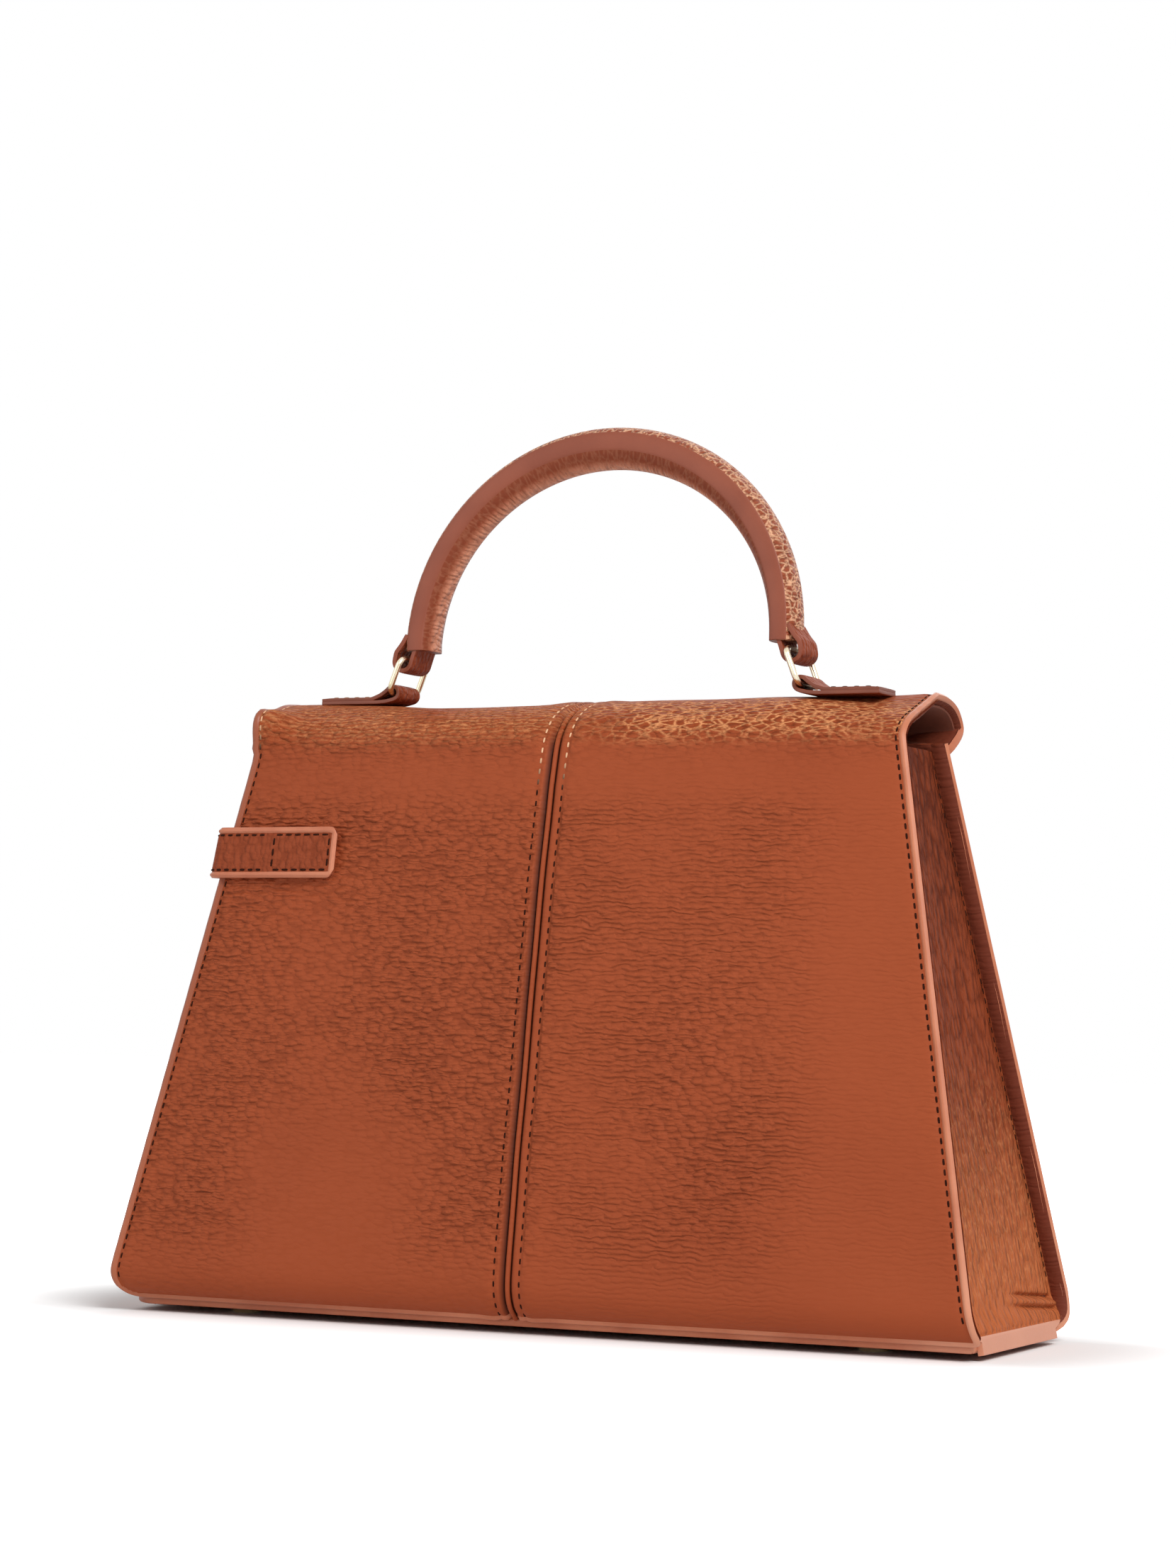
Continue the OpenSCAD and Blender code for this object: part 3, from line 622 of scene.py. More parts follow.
world = bpy.data.worlds.new("softStudio")
bpy.context.scene.world = world
world.use_nodes = True
sky = world.node_tree
sky.nodes.clear()
seen = sky.nodes.new("ShaderNodeLightPath")
anySeen = Signal(sky, seen.outputs["Is Camera Ray"])
anySeen = anySeen.sum("MAXIMUM", anySeen, Signal(sky, seen.outputs["Is Glossy Ray"]))
anySeen = anySeen.sum("MAXIMUM", anySeen, Signal(sky, seen.outputs["Is Transmission Ray"]))
backdrop = sky.nodes.new("ShaderNodeBackground")
backdrop.inputs["Color"].default_value = (1, 1, 1, 1)
plug(sky, backdrop.inputs["Strength"], lightSet["sky"] + anySeen * (1 - lightSet["sky"]))
skyEnd = sky.nodes.new("ShaderNodeOutputWorld")
sky.links.new(backdrop.outputs[0], skyEnd.inputs["Surface"])


def lamp(name, place, size, power):
    dropSelection()
    bpy.ops.object.light_add(type="AREA", location=place)
    light = bpy.context.object
    light.name = name
    light.data.energy, light.data.size = power, size
    turned = (Vector(lightSet["aim"]) - Vector(place)).to_track_quat("-Z", "Y").to_matrix().to_4x4()
    light.matrix_world = Matrix.Translation(place) @ turned


lamp("keyLamp", (-1.1, 0.9, 1.25), 0.9, lightSet["key"])
lamp("fillLamp", (0.9, 1.3, 0.7), 1.2, lightSet["fill"])
lamp("frontLamp", (0.2, -1.5, 0.9), 1.2, lightSet["rim"])
print("camera and light ready")


# the body's shape

def halfWidth(z):
    return bag["bottomHalf"] - sideSlope * (np.minimum(z, bag["topZ"]) - bag["bottomZ"])


def faceY(z):
    return bag["bottomDeep"] - lean * (z - bag["bottomZ"])


def ripple(x, s, size):
    return size * (np.sin(x / 19 + s / 31 + 0.7) * np.sin(s / 23 - x / 41 + 0.4)
                   + 0.5 * np.sin(x / 9.1 - s / 13.7 + 2.1) * np.sin(s / 10.3 + x / 15.1))


skin = {"thick": 2.4, "lip": 0.6, "seamGap": 1.0, "fullness": 3.0, "ripple": 0.35, "seamStitch": 2.85,
        "border": 1.9, "edgeStitch": 2.75, "cornerLeft": 11.0, "cornerRight": 3.0,
        "fullZ": ((0, 0), (20, 0.45), (50, 0.85), (90, 1.0), (130, 1.1), (150, 1.0), (160, 0.7), (168, 0.3)),
        "seamSteps": [0, 0.4, 0.9, 1.5, 2.2, 2.85, 3.6, 5, 7, 10, 14],
        "edgeSteps": [0, 0.35, 0.8, 1.3, 1.7, 2.05, 2.4, 2.75, 3.3, 4.4, 6.2, 9, 13]}


def fullAt(z):
    heights, shares = zip(*skin["fullZ"])
    return skin["fullness"] * np.interp(z, heights, shares)


rearFoot, foreFoot = {"y": 31.94, "z": 12.4, "radius": 10.2}, {"z": 14, "radius": 12}
flapEndZ = 104.0
dropLine = bezierLine((-32, 164.2), (-31.3, 150), (-27, 124), (-31.6, 98), 120)
skinLine = np.concatenate([
    arcLine((rearFoot["y"], rearFoot["z"]), rearFoot["radius"], -60, leanAngle, 20),
    [[17.95, 159.5], [17.2, 164], [14.3, 169.3], [8, 174.2], [2.5, 176.5], [-2, 177.1], [-6, 177.25]],
    bezierLine((-12, 177.2), (-22, 177.2), (-31, 174.8), (-32, 164.2)),
    dropLine[1:][dropLine[1:, 1] > flapEndZ], [[-30.6, flapEndZ]]])
skinLine = softened(skinLine, 4.4)
skinRows = profileRows(skinLine, 3.0, 1.15, lambda p: (p[:, 0] < -20) & ((p[:, 1] > 133) | (p[:, 1] < 122)))
borderSteps = np.array([0, 0.4, 0.85, 1.3, 1.7, 2.05, 2.5, 3.2, 4.1])
skinRows = refined(skinRows, np.concatenate([borderSteps, skinRows["s"][-1] - borderSteps]))
topRow = int(np.argmax(skinRows["z"]))
boxS = float(skinRows["s"][np.argmax(skinRows["z"] > 169.6)])
lobeCorner = arcLine((42, 120), 16, 0, -90, 24)
wingLine = softened(np.concatenate([
    [[100.5, 174], [100.5, 165.5], [100.0, 162.4], [97.8, 159.8], [93, 157.7], [85, 154.9], [76, 151.2],
     [67, 146], [61, 140.2], [58.4, 134], [58, 127], [58, 120.5]], lobeCorner]), 2.4)


def skinEdge(corner):
    # half width of the leather at each row, on the back, over the top and down to the lobe
    z, s = skinRows["z"], skinRows["s"]
    edge = halfWidth(z)
    low = s < corner
    edge[low] -= cutAway((corner - s[low]) / corner, corner)
    if corner == skin["cornerLeft"]:
        edge += 0.9 * ease(z, 160.5, 162.5) * (s < s[topRow])
    front = np.arange(len(z)) > topRow
    edge[front] = np.minimum(edge[front], np.interp(z[front], wingLine[::-1, 1], wingLine[::-1, 0]))
    return edge


def skinSurface(x, s, dSeam, dEdge, sink=0.0):
    # raised places of the outer leather, worked out from its side view and its fullness
    y, z, outY, outZ = rowsAt(skinRows, s)
    sTop = skinRows["s"][topRow]
    onBack = 1 - ease(s, sTop - 26, sTop - 6)
    onFront = ease(s, sTop + 14, sTop + 30)
    span = np.clip(1 - (np.abs(x) / halfWidth(z)) ** 2.2, 0, 1)
    raised = fullAt(z) * span * onBack - 0.6 * span * (1 - onBack) * (1 - onFront)
    raised += ripple(x, s, skin["ripple"]) * ease(dEdge, 0, 14) * (1 - 0.6 * onFront)
    raised = raised - 1.1 * peak(dSeam, 0, 0.7) + 0.3 * peak(dSeam, 5.5, 2.6)
    raised -= 0.3 * peak(dSeam, skin["seamStitch"], 0.6)
    # the rolled, painted border and the sewn line on its inner side
    raised = raised - 0.45 * peak(dEdge, 0, 0.55) + 0.3 * peak(dEdge, 1.0, 0.6)
    raised = raised - 0.35 * peak(dEdge, 2.0, 0.3) - 0.3 * peak(dEdge, skin["edgeStitch"], 0.5)
    # the left end stands square where the flap turns over, the right end slopes over it, the left half sags
    boxWidth = np.where(s < boxS, 6.0, 5.2)
    raised += 4.9 * peak(s, boxS, boxWidth) * ease(x, 86, 98) * (s < sTop + 6)
    slope = np.interp(y, (-9.5, -6, -2, 2.5, 8, 14.3, 17), (0, 1.2, 2.6, 3.4, 3.3, 1.3, 0))
    atEnd = ease(-x, 60, 99)
    raised -= slope * (atEnd + 0.2 * (1 - atEnd) * (1 - ease(x, 2, 20))) * (s < sTop + 6)
    sag = np.interp(y, (-24, -16, -9.5, -6, -2, 2.5, 8, 14.3, 17), (0, 0.8, 1.4, 1.5, 1.45, 1.3, 0.8, 0.2, 0))
    raised -= sag * ease(x, 2, 20) * (1 - ease(x, 48, 72))
    raised -= sink
    pull = 9 * ease(np.abs(x), 60, 98) * ease(170 - z, 0, 10) * (s > sTop)
    return np.stack([x, y + raised * outY + pull, z + raised * outZ], -1)


def skinHalf(side, corner, name):
    edge = skinEdge(corner)
    inner = bag["seamX"] + side * skin["seamGap"]
    x, runs = columnRuns(inner, side * edge, skin["seamSteps"], skin["edgeSteps"], 24)
    s = skinRows["s"][:, None] + 0 * x
    rim = spaced(np.stack([side * edge, skinRows["s"]], 1), 0.4)

    def endLine(k):
        # points along an end of the leather, between the seam and the rim's first or last point
        across = np.arange(*sorted((inner, rim[k, 0])), 0.4)
        return np.stack([across, 0 * across + rim[k, 1]], 1)
    heel, toe = endLine(0), endLine(-1)[::-side]
    rim = np.concatenate([rim, toe])
    dEdge = nearest(x, s, np.concatenate([rim, heel]))
    places = skinSurface(x, s, runs, dEdge)
    obj = makeSheet(name, places, np.stack([x, s], -1), skin["thick"], skin["lip"], (0, 0, 1),
                    near=dEdge, border=skin["border"])
    return obj, {"x": x, "s": skinRows["s"], "places": places, "rim": rim, "inner": inner, "side": side}


sheetLeft, mapLeft = skinHalf(1, skin["cornerLeft"], "backAndFlapLeft")
sheetRight, mapRight = skinHalf(-1, skin["cornerRight"], "backAndFlapRight")
for obj, nodes in ((sheetLeft, ("rear_panel_left", "flap_left", "flap_hinge_roll")),
                   (sheetRight, ("rear_panel_right", "flap_right"))):
    dress(obj, backLeather, edgePaint, innerLeather)
    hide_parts(*nodes)
    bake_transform(obj)
print("back and flap ready")


# the welt: one piping from the back's lower edge over the top to the lobe

piping = {"halfWide": 0.78, "dome": 0.9, "sink": 0.35, "thick": 0.5}


def weltOver(rows, surface, name, facing, flip=1):
    turn = np.radians(np.linspace(-100, 100, 13))
    s = rows["s"][:, None] + 0 * turn[None, :]
    x = bag["seamX"] + piping["halfWide"] * np.sin(turn)[None, :] + 0 * s
    clear = 0 * x + 20.0  # away from the seam's and the rim's own shapes
    places = surface(0 * x + bag["seamX"], s, clear, clear, sink=piping["sink"])
    places[..., 0] += x - bag["seamX"]
    lift = (np.cos(turn) - 1)[None, :] * piping["dome"] * flip
    places[..., 1] += lift * rows["outY"][:, None]
    places[..., 2] += lift * rows["outZ"][:, None]
    return makeSheet(name, places, np.stack([x, s], -1), piping["thick"], 0, facing)


welt = weltOver(skinRows, skinSurface, "weltBackAndFlap", (0, 0, 1))
dress(welt, backLeather, edgePaint)
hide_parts("rear_welt", "flap_welt")
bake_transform(welt)
print("welt ready")


# stitches: one rounded stitch, copied along each row

stitch = {"pitch": 2.75, "long": 1.7, "wide": 0.72, "sink": 0.1,
          "seamSize": (3.1, 0.95), "strapSize": (2.7, 1.25)}  # pitch and stretch
dropSelection()
bpy.ops.mesh.primitive_uv_sphere_add(segments=8, ring_count=6, radius=1, location=(0, 0, 0))
pattern = bpy.context.object
pattern.name = "oneStitch"
for vertex in pattern.data.vertices:
    x, y, z = vertex.co
    vertex.co = (x * 0.5 * stitch["wide"] * mm, y * 0.5 * stitch["wide"] * mm,
                 (z * stitch["wide"] + np.sign(round(z, 3)) * (stitch["long"] - stitch["wide"])) * 0.5 * mm)
smooth(pattern, 80)


def stitchRow(points, normals, name, pitch=stitch["pitch"], stretch=1.0):
    # points along the row with the leather's outward direction at each
    along = lengths(points)
    count = max(1, int(along[-1] // pitch))
    at = (np.arange(count) + 0.5) * along[-1] / count
    copies = []
    for place in at:
        def here(values, where):
            return np.array([np.interp(where, along, values[:, k]) for k in range(3)])
        start, end = here(points, place - 0.9), here(points, place + 0.9)
        lengthwise = Vector(end - start).normalized()
        outward = Vector(here(normals, place)).normalized()
        sideways = outward.cross(lengthwise).normalized()
        outward = lengthwise.cross(sideways)
        spot = Vector(here(points, place)) - outward * stitch["sink"]
        copy = pattern.copy()
        copy.data = pattern.data.copy()
        bpy.context.scene.collection.objects.link(copy)
        turned = Matrix((sideways, outward, lengthwise)).transposed().to_4x4()
        copy.matrix_world = Matrix.Translation(spot * mm) @ turned @ Matrix.Diagonal((1.0, 1.0, stretch, 1.0))
        copies.append(copy)
    row = joined(copies, name)
    placeInMesh(row)
    dress(row, thread)
    return row


def sewn(sheet, path, facing, name, size=()):
    # a row drawn on the flat leather, lifted to its places and to the side that starts out facing that way
    path = spaced(np.array(path, float), 1.5)
    x, s = path[:, 0], path[:, 1]
    here = onSheet(sheet, x, s)
    dx = onSheet(sheet, x + 0.8, s) - onSheet(sheet, x - 0.8, s)
    ds = onSheet(sheet, x, s + 0.8) - onSheet(sheet, x, s - 0.8)
    normals = np.cross(dx, ds)
    normals /= np.maximum(np.linalg.norm(normals, axis=1), 1e-9)[:, None]
    return stitchRow(here, normals * np.sign(np.dot(normals[2], facing)), name, *size)


def insetPath(rim, inset, side):
    # the rim moved inwards, with the parts dropped that come too near another stretch of it
    run = heading(rim)
    moved = rim + inset * np.stack([-run[:, 1], run[:, 0]], 1) * side
    far = nearest(moved[:, 0], moved[:, 1], rim)
    return moved[far > inset - 0.12]


def sewnSheet(sheet, seamFrom, seamShort, edgeFrom, facing, name, label, seamSize=()):
    # one row beside the seam and one along the rim
    side = sheet["side"]
    seamX = sheet["inner"] + side * skin["seamStitch"]
    edgePath = insetPath(spaced(sheet["rim"], 0.8), skin["edgeStitch"], side)
    edgePath = edgePath[(edgePath[:, 1] > edgeFrom) & (np.abs(edgePath[:, 0] - bag["seamX"]) > 4.4)]
    seamPath = [[seamX, seamFrom], [seamX, sheet["s"][-1] - seamShort]]
    return [sewn(sheet, seamPath, facing, name + "Seam" + label, seamSize),
            sewn(sheet, edgePath, facing, name + "Edge" + label)]


for sheet, label in ((mapLeft, "Left"), (mapRight, "Right")):
    for row in sewnSheet(sheet, 1.5, 4.6, 7, (0, 1, 0.2), "stitches", label, stitch["seamSize"]):
        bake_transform(row)
print("stitches ready")


# front panels and their welt

front = {"thick": 2.6, "lip": 0.7, "corner": 6.0, "fullness": 1.6, "slim": 2.4}
footY = front["slim"] - 29.85


def frontY(z):
    # the front stands a little steeper than the back
    return front["slim"] * (1 - (z - bag["bottomZ"]) / 162) - faceY(z)


frontLine = np.concatenate([
    arcLine((footY, foreFoot["z"]), foreFoot["radius"], -90, -180 - leanAngle, 24), [[-17.2, bag["topZ"]]]])
frontRows = profileRows(frontLine, 3.4, 1.2)


def frontSurface(x, s, dSeam, dEdge, sink=0.0):
    y, z, inY, inZ = rowsAt(frontRows, s)
    span = np.clip(1 - (np.abs(x) / halfWidth(z)) ** 2.2, 0, 1)
    lobeArea = (1 - ease(np.abs(x), 50, 72)) * ease(z, 90, 112)
    upright = np.sin(pi * np.clip((z - 8) / 154, 0, 1)) ** 0.7
    raised = front["fullness"] * span * upright * (1 - 0.6 * lobeArea)
    raised += ripple(x + 50, s, 0.3) * ease(dEdge, 0, 14)
    raised = raised - 1.0 * peak(dSeam, 0, 0.85) - 0.3 * peak(dSeam, skin["seamStitch"], 0.7)
    raised = raised - 0.4 * peak(dEdge, 0, 0.55) + 0.25 * peak(dEdge, 1.0, 0.6)
    raised = raised - 0.3 * peak(dEdge, 2.0, 0.3) - 0.28 * peak(dEdge, skin["edgeStitch"], 0.5) - sink
    return np.stack([x, y - raised * inY, z - raised * inZ], -1)


def frontHalf(side, name):
    z, s = frontRows["z"], frontRows["s"]
    edge = halfWidth(z)
    corner = front["corner"]
    low = z < bag["bottomZ"] + corner
    edge[low] -= cutAway((corner - (z[low] - bag["bottomZ"])) / corner, corner)
    inner = bag["seamX"] + side * skin["seamGap"]
    x, runs = columnRuns(inner, side * edge, skin["seamSteps"], skin["edgeSteps"], 20)
    flatS = s[:, None] + 0 * x
    down = np.arange(0, s[-1], 0.5)
    rim = np.stack([side * np.interp(down, s, edge), down], 1)
    gap = nearest(x, flatS, rim)
    places = frontSurface(x, flatS, runs, gap)
    obj = makeSheet(name, places, np.stack([x, flatS], -1), front["thick"], front["lip"], (0, -1, 0),
                    near=gap, border=skin["border"])
    return obj, {"x": x, "s": s, "places": places, "rim": rim, "inner": inner, "side": side}


for side, label in bothSides:
    panel, sheet = frontHalf(side, "frontPanel" + label)
    dress(panel, frontLeather, edgePaint, innerLeather)
    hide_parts("front_panel_" + label.lower())
    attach(panel, "bag_body")
    for row in sewnSheet(sheet, 3, 3, 5, (0, -1, 0), "stitchesFront", label):
        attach(row, "bag_body")


frontWelt = weltOver(frontRows, frontSurface, "weltFront", (0, -1, 0), flip=-1)
dress(frontWelt, frontLeather, edgePaint)
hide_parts("front_welt")
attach(frontWelt, "bag_body")
print("front ready")


# gussets: uprights set in between the panels, flared out onto the base

gusset = {"thick": 1.6, "lip": 0.45, "turnedOut": 1.0, "recess": 3.2, "frontIn": 4.4, "turn": 2.3,
          "hollow": 1.3, "top": 161.5, "foot": 1.7, "band": 6.4, "bandOut": 1.5, "stitchFront": 1.5,
          "rearFoot": 7.5, "foreFoot": 9.36, "rearGap": 2.35, "foreGap": 2.66, "backReach": (33.4, 39.3)}


def gussetSurface(t, z, side):
    backFoot = rearFoot["y"] + np.sqrt(np.clip(gusset["rearFoot"] ** 2 - (rearFoot["z"] - z) ** 2, 0, None))
    frontFoot = footY - np.sqrt(np.clip(gusset["foreFoot"] ** 2 - (foreFoot["z"] - z) ** 2, 0, None))
    backIn = np.where(z > rearFoot["z"], faceY(z) - gusset["rearGap"], backFoot)
    least, most = gusset["backReach"]
    backIn = np.where(z > 13.6, np.minimum(backIn, most), np.clip(backIn, least, most))
    frontIn = np.where(z > foreFoot["z"], frontY(z) + gusset["foreGap"], frontFoot)
    y = backIn + (frontIn - backIn) * t
    toPanel = np.minimum(backIn - y, y - frontIn)
    middle = np.sin(pi * np.clip(t, 0, 1)) ** 1.4
    # turned out flush beside the panels, set in between them, out again onto the base
    setIn = gusset["recess"] - gusset["turnedOut"]
    inward = gusset["turnedOut"] + setIn * ease(backIn - y, 0.7, gusset["turn"])
    inward += (gusset["frontIn"] - gusset["recess"]) * (1 - ease(y - frontIn, 0.5, 9))
    low = 1 - ease(z, gusset["band"] - 0.6, gusset["band"] + 7)
    x = halfWidth(z) - inward * (1 - low) - gusset["bandOut"] * low
    x -= 0.35 * peak(z, gusset["band"] + 0.3, 0.5) * ease(toPanel, 0.5, 3)
    x -= gusset["hollow"] * middle * ease(z, 20, 70) * (1 - 0.5 * ease(z, 130, 160))
    # a slack fold near the lower front corner, with a second crease under it
    upper, lower = 12.4 + 0.082 * (y + 32.7), 9.6 + 0.077 * (y + 31)
    fold = ease(-y, -6, 12) * ease(toPanel, 0, 2)
    between = 1.1 * peak(z, (upper + lower) / 2, 0.9)
    x -= fold * (1.5 * peak(z, upper, 0.55) + 1.2 * peak(z, lower, 0.5) - between)
    x = x + 0.6 * peak(z, gusset["top"] - 1.5, 0.9) - 0.4 * peak(z, gusset["top"] - 3.4, 0.5)
    x -= 0.5 * peak((z - 22) - 10 * (0.3 - t), 0, 3.0) * ease(0.45 - t, 0, 0.4)
    x += ripple(y * 1.4 + 30 * side, z, 0.25) * middle * ease(z, 10, 30)
    if side > 0:
        # the left foot follows the rounded corner of the back
        near = np.clip((13.0 - z) / 11, 0, 1)
        x -= cutAway(near, 11) * (1 - ease(t, 0.02, 0.3))
    return np.stack([side * x, y, z], -1)


for side, label in bothSides:
    heights = np.concatenate([np.linspace(gusset["foot"], 20, 56), np.linspace(21, gusset["top"], 60)])
    t, z = np.meshgrid((1 - np.cos(np.linspace(0, pi, 46))) / 2, heights)
    places = gussetSurface(t, z, side)
    upright = makeSheet("gusset" + label, places, np.stack([places[..., 1], z], -1), gusset["thick"],
                        gusset["lip"], (side, 0, 0), near=z, border=gusset["band"])
    dress(upright, sideLeather, edgePaint, innerLeather)
    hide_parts("gusset_" + label.lower())
    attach(upright, "bag_body")
    rowZ = np.linspace(17, gusset["top"] - 3, 100)
    points = gussetSurface(1 - gusset["stitchFront"] / (2 * faceY(rowZ) - 5.32), rowZ, side)
    row = stitchRow(points, np.tile([side, 0, 0.2], (len(points), 1)), "stitchesGusset" + label)
    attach(row, "bag_body")
print("gussets ready")


# base panel with its rounded painted edge

base = {"halfWide": 128.6, "back": 36.6, "front": footY - 0.6, "thick": 2.6, "lip": 0.9, "z": 2.0,
        "cornerLeft": 11.5}
depths = np.concatenate([np.linspace(base["front"], 20, 14), np.linspace(21.5, base["back"], 14)])
bx, by = np.meshgrid(np.linspace(-1, 1, 66), depths)
cornerIn = np.clip((by - base["back"] + base["cornerLeft"]) / base["cornerLeft"], 0, 1)
bx *= base["halfWide"] - cutAway(cornerIn, base["cornerLeft"]) * (bx > 0)
sag = 0.05 * np.cos(bx / 31) * np.cos(by / 12)
basePanel = makeSheet("basePanel", np.stack([bx, by, base["z"] + sag], -1), np.stack([bx, by], -1),
                      base["thick"], base["lip"], (0, 0, -1))
dress(basePanel, frontLeather, edgePaint)
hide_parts("base_panel")
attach(basePanel, "bag_body")
for name, finish in (("base_board", cardBoard), ("feet", goldMetal), ("foot_washers", goldMetal),
                     ("turn_lock_backing", goldMetal)):
    dress(frame["nodes"][name], finish)
print("base ready")


# lining: an open cloth bag, its slip pocket, and the flap's lining

cloth = {"thick": 0.8, "floor": 7.1, "top": 160.8, "side": 4.8, "gap": 2.75, "corner": 4,
         "rearFoot": (31.945, 13.6, 7.2), "foreFoot": 9.2, "slack": 0.35, "around": 480}


def liningRing(z):
    # a rounded rectangle at one height
    wide = halfWidth(z) - cloth["side"]
    back, front = faceY(z) - cloth["gap"], frontY(z) + cloth["gap"]
    if z < foreFoot["z"]:
        y, height, radius = cloth["rearFoot"]
        back = min(back, y + sqrt(max(radius ** 2 - (height - z) ** 2, 0.1)))
        front = max(front, footY - sqrt(max(cloth["foreFoot"] ** 2 - (foreFoot["z"] - z) ** 2, 0.1)))
    ring = boxLine(wide, front, back, cloth["corner"], 5)
    ring = np.concatenate([ring, ring[:1]])
    along = lengths(ring) / lengths(ring)[-1]
    return np.stack([np.interp(np.linspace(0, 1, 97), along, ring[:, k]) for k in range(2)], 1)


heights = np.concatenate([[cloth["floor"]], np.linspace(cloth["floor"] + 0.3, 16, 8),
                          np.linspace(20, cloth["top"], 36)])
rings = np.array([liningRing(z) for z in heights])
spot = np.zeros((len(heights), rings.shape[1], 3))
spot[..., :2] = rings
spot[..., 2] = heights[:, None]
around = np.linspace(0, 1, rings.shape[1])[None, :] * cloth["around"] + 0 * heights[:, None]
slack = cloth["slack"] * (1 + np.sin(around / 11 + heights[:, None] / 17))
slack = slack * np.sin(pi * np.clip((heights[:, None] - 8) / 150, 0, 1))
centreWay = -np.sign(spot[..., :2]) * slack[..., None]
spot[..., :2] += centreWay * np.array([0.3, 1.0]) * (np.abs(spot[..., :2]) > 8)
middle = spot[0].mean(0)
floorRings = [middle + (spot[0] - middle) * share for share in (0.02, 0.35, 0.7, 0.93)]
spot = np.concatenate([np.array(floorRings), spot])
around = np.concatenate([np.repeat(around[:1], 4, 0), around])
liningPiece = makeSheet("bodyLining", spot, np.stack([around, spot[..., 2]], -1), cloth["thick"], 0,
                        (0, -1, 0), wrap=True)
dress(liningPiece, liningCloth, liningCloth)
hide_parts("lining")
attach(liningPiece, "bag_body")

pocket = {"halfWide": 65.0, "low": 48.0, "high": 126.0, "slack": 2.0, "thick": 0.9}
px, pz = np.meshgrid(np.linspace(-pocket["halfWide"], pocket["halfWide"], 54),
                     np.linspace(pocket["low"], pocket["high"], 34))
loose = np.cos(pi * px / 2 / pocket["halfWide"]) ** 0.7 * ease(pz, pocket["low"], pocket["high"])
py = faceY(pz) - cloth["gap"] - cloth["thick"] - 0.9 - pocket["slack"] * loose
pocketPiece = makeSheet("innerPocket", np.stack([px, py, pz], -1), np.stack([px, pz], -1),
                        pocket["thick"], 0.25, (0, -1, 0))
dress(pocketPiece, liningCloth, edgePaint)
bindZ = pocket["high"] + np.array([[-5], [-3.4], [-1.6], [0.4]]) + 0 * px[-4:]
binding = makeSheet("pocketBinding", np.stack([px[-4:], py[-4:] - 0.5, bindZ], -1),
                    np.stack([px[-4:], pz[-4:]], -1), 2.0, 0.6, (0, -1, 0))
dress(binding, strapLeather, edgePaint)
pocketPiece = joined([pocketPiece, binding], "innerPocket")
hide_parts("inner_pocket")
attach(pocketPiece, "bag_body")


flapCloth = {"from": 159.5, "inset": 1.9, "under": 0.15}
keep = np.arange(int(np.argmax(skinRows["z"] > flapCloth["from"])), len(skinRows["s"]))
keep = keep[skinRows["s"][keep] < skinRows["s"][-1] - flapCloth["inset"] - 0.3]
lx = np.linspace(-1, 1, 60)[None, :] * (skinEdge(0.1)[keep] - flapCloth["inset"])[:, None]
ls = skinRows["s"][keep][:, None] + 0 * lx
places = skinSurface(lx, ls, 0 * lx + 20, 0 * lx + 20, sink=skin["thick"] + flapCloth["under"])
flapLining = makeSheet("flapLining", places, np.stack([lx, ls], -1), cloth["thick"], 0.25, (0, 0, 1))
dress(flapLining, liningCloth, liningCloth)
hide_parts("flap_lining")
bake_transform(flapLining)
print("linings ready")


# straps of leather that follow a line in width and height: the tabs and the handle's end loops

def folded(name, line, halfWide, thick, lip, facing):
    line = spaced(softened(line, 0.8), 0.6)
    run = heading(line)
    outward = np.stack([-run[:, 1], run[:, 0]], 1)
    if np.dot(outward[3], facing) < 0:
        outward = -outward
    share = np.sin(np.linspace(-pi / 2, pi / 2, 14))
    lift = 0.12 * (1 - share ** 4)
    x = line[:, :1] + outward[:, :1] * lift
    z = line[:, 1:] + outward[:, 1:] * lift
    y = bag["handleY"] + halfWide * share[None, :] + 0 * x
    s = lengths(line)[:, None] + 0 * x
    middle = outward[len(line) // 2]
    return makeSheet(name, np.stack([x, y, z], -1), np.stack([y, s], -1), thick, lip,
                     (middle[0], 0, middle[1]))


tab = {"halfWide": 6.5, "end": 87.4, "ringX": 64.0, "ringZ": 179.65, "loop": 2.45, "top": 178.45,
       "under": 176.5, "layer": 1.1, "stitchIn": 1.9}
for side, label in bothSides:
    end, top, under = tab["end"], tab["top"], tab["under"]
    line = np.concatenate([[[end, top - 0.2], [end - 3, top], [71.0, top], [68.2, 179.5]],
                           arcLine((tab["ringX"], tab["ringZ"]), tab["loop"], 32, 262, 24),
                           [[66, under + 0.2], [69, under], [end, under]]])
    line[:, 0] *= side
    piece = folded("handleTab" + label, line, tab["halfWide"], tab["layer"], 0.3, (0, 1))
    dress(piece, strapLeather, tabPaint)
    rows = [piece]
    inX, endX = side * 71.5, side * (end - 2.2)
    wide = tab["halfWide"] - tab["stitchIn"]
    for path in (((inX, -wide), (endX, -wide)), ((inX, wide), (endX, wide)),
                 ((endX, -wide + 1), (endX, wide - 1))):
        points = spaced(np.array([(x, bag["handleY"] + y, top + 0.1) for x, y in path]), 1)
        rows.append(stitchRow(points, np.tile([0, 0, 1.0], (len(points), 1)), "tabStitches"))
    piece = joined(rows, "handleTab" + label)
    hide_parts("handle_tab_" + label.lower())
    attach(piece, "flap")
print("tabs ready")


# rings: bent wire frames with rounded corners

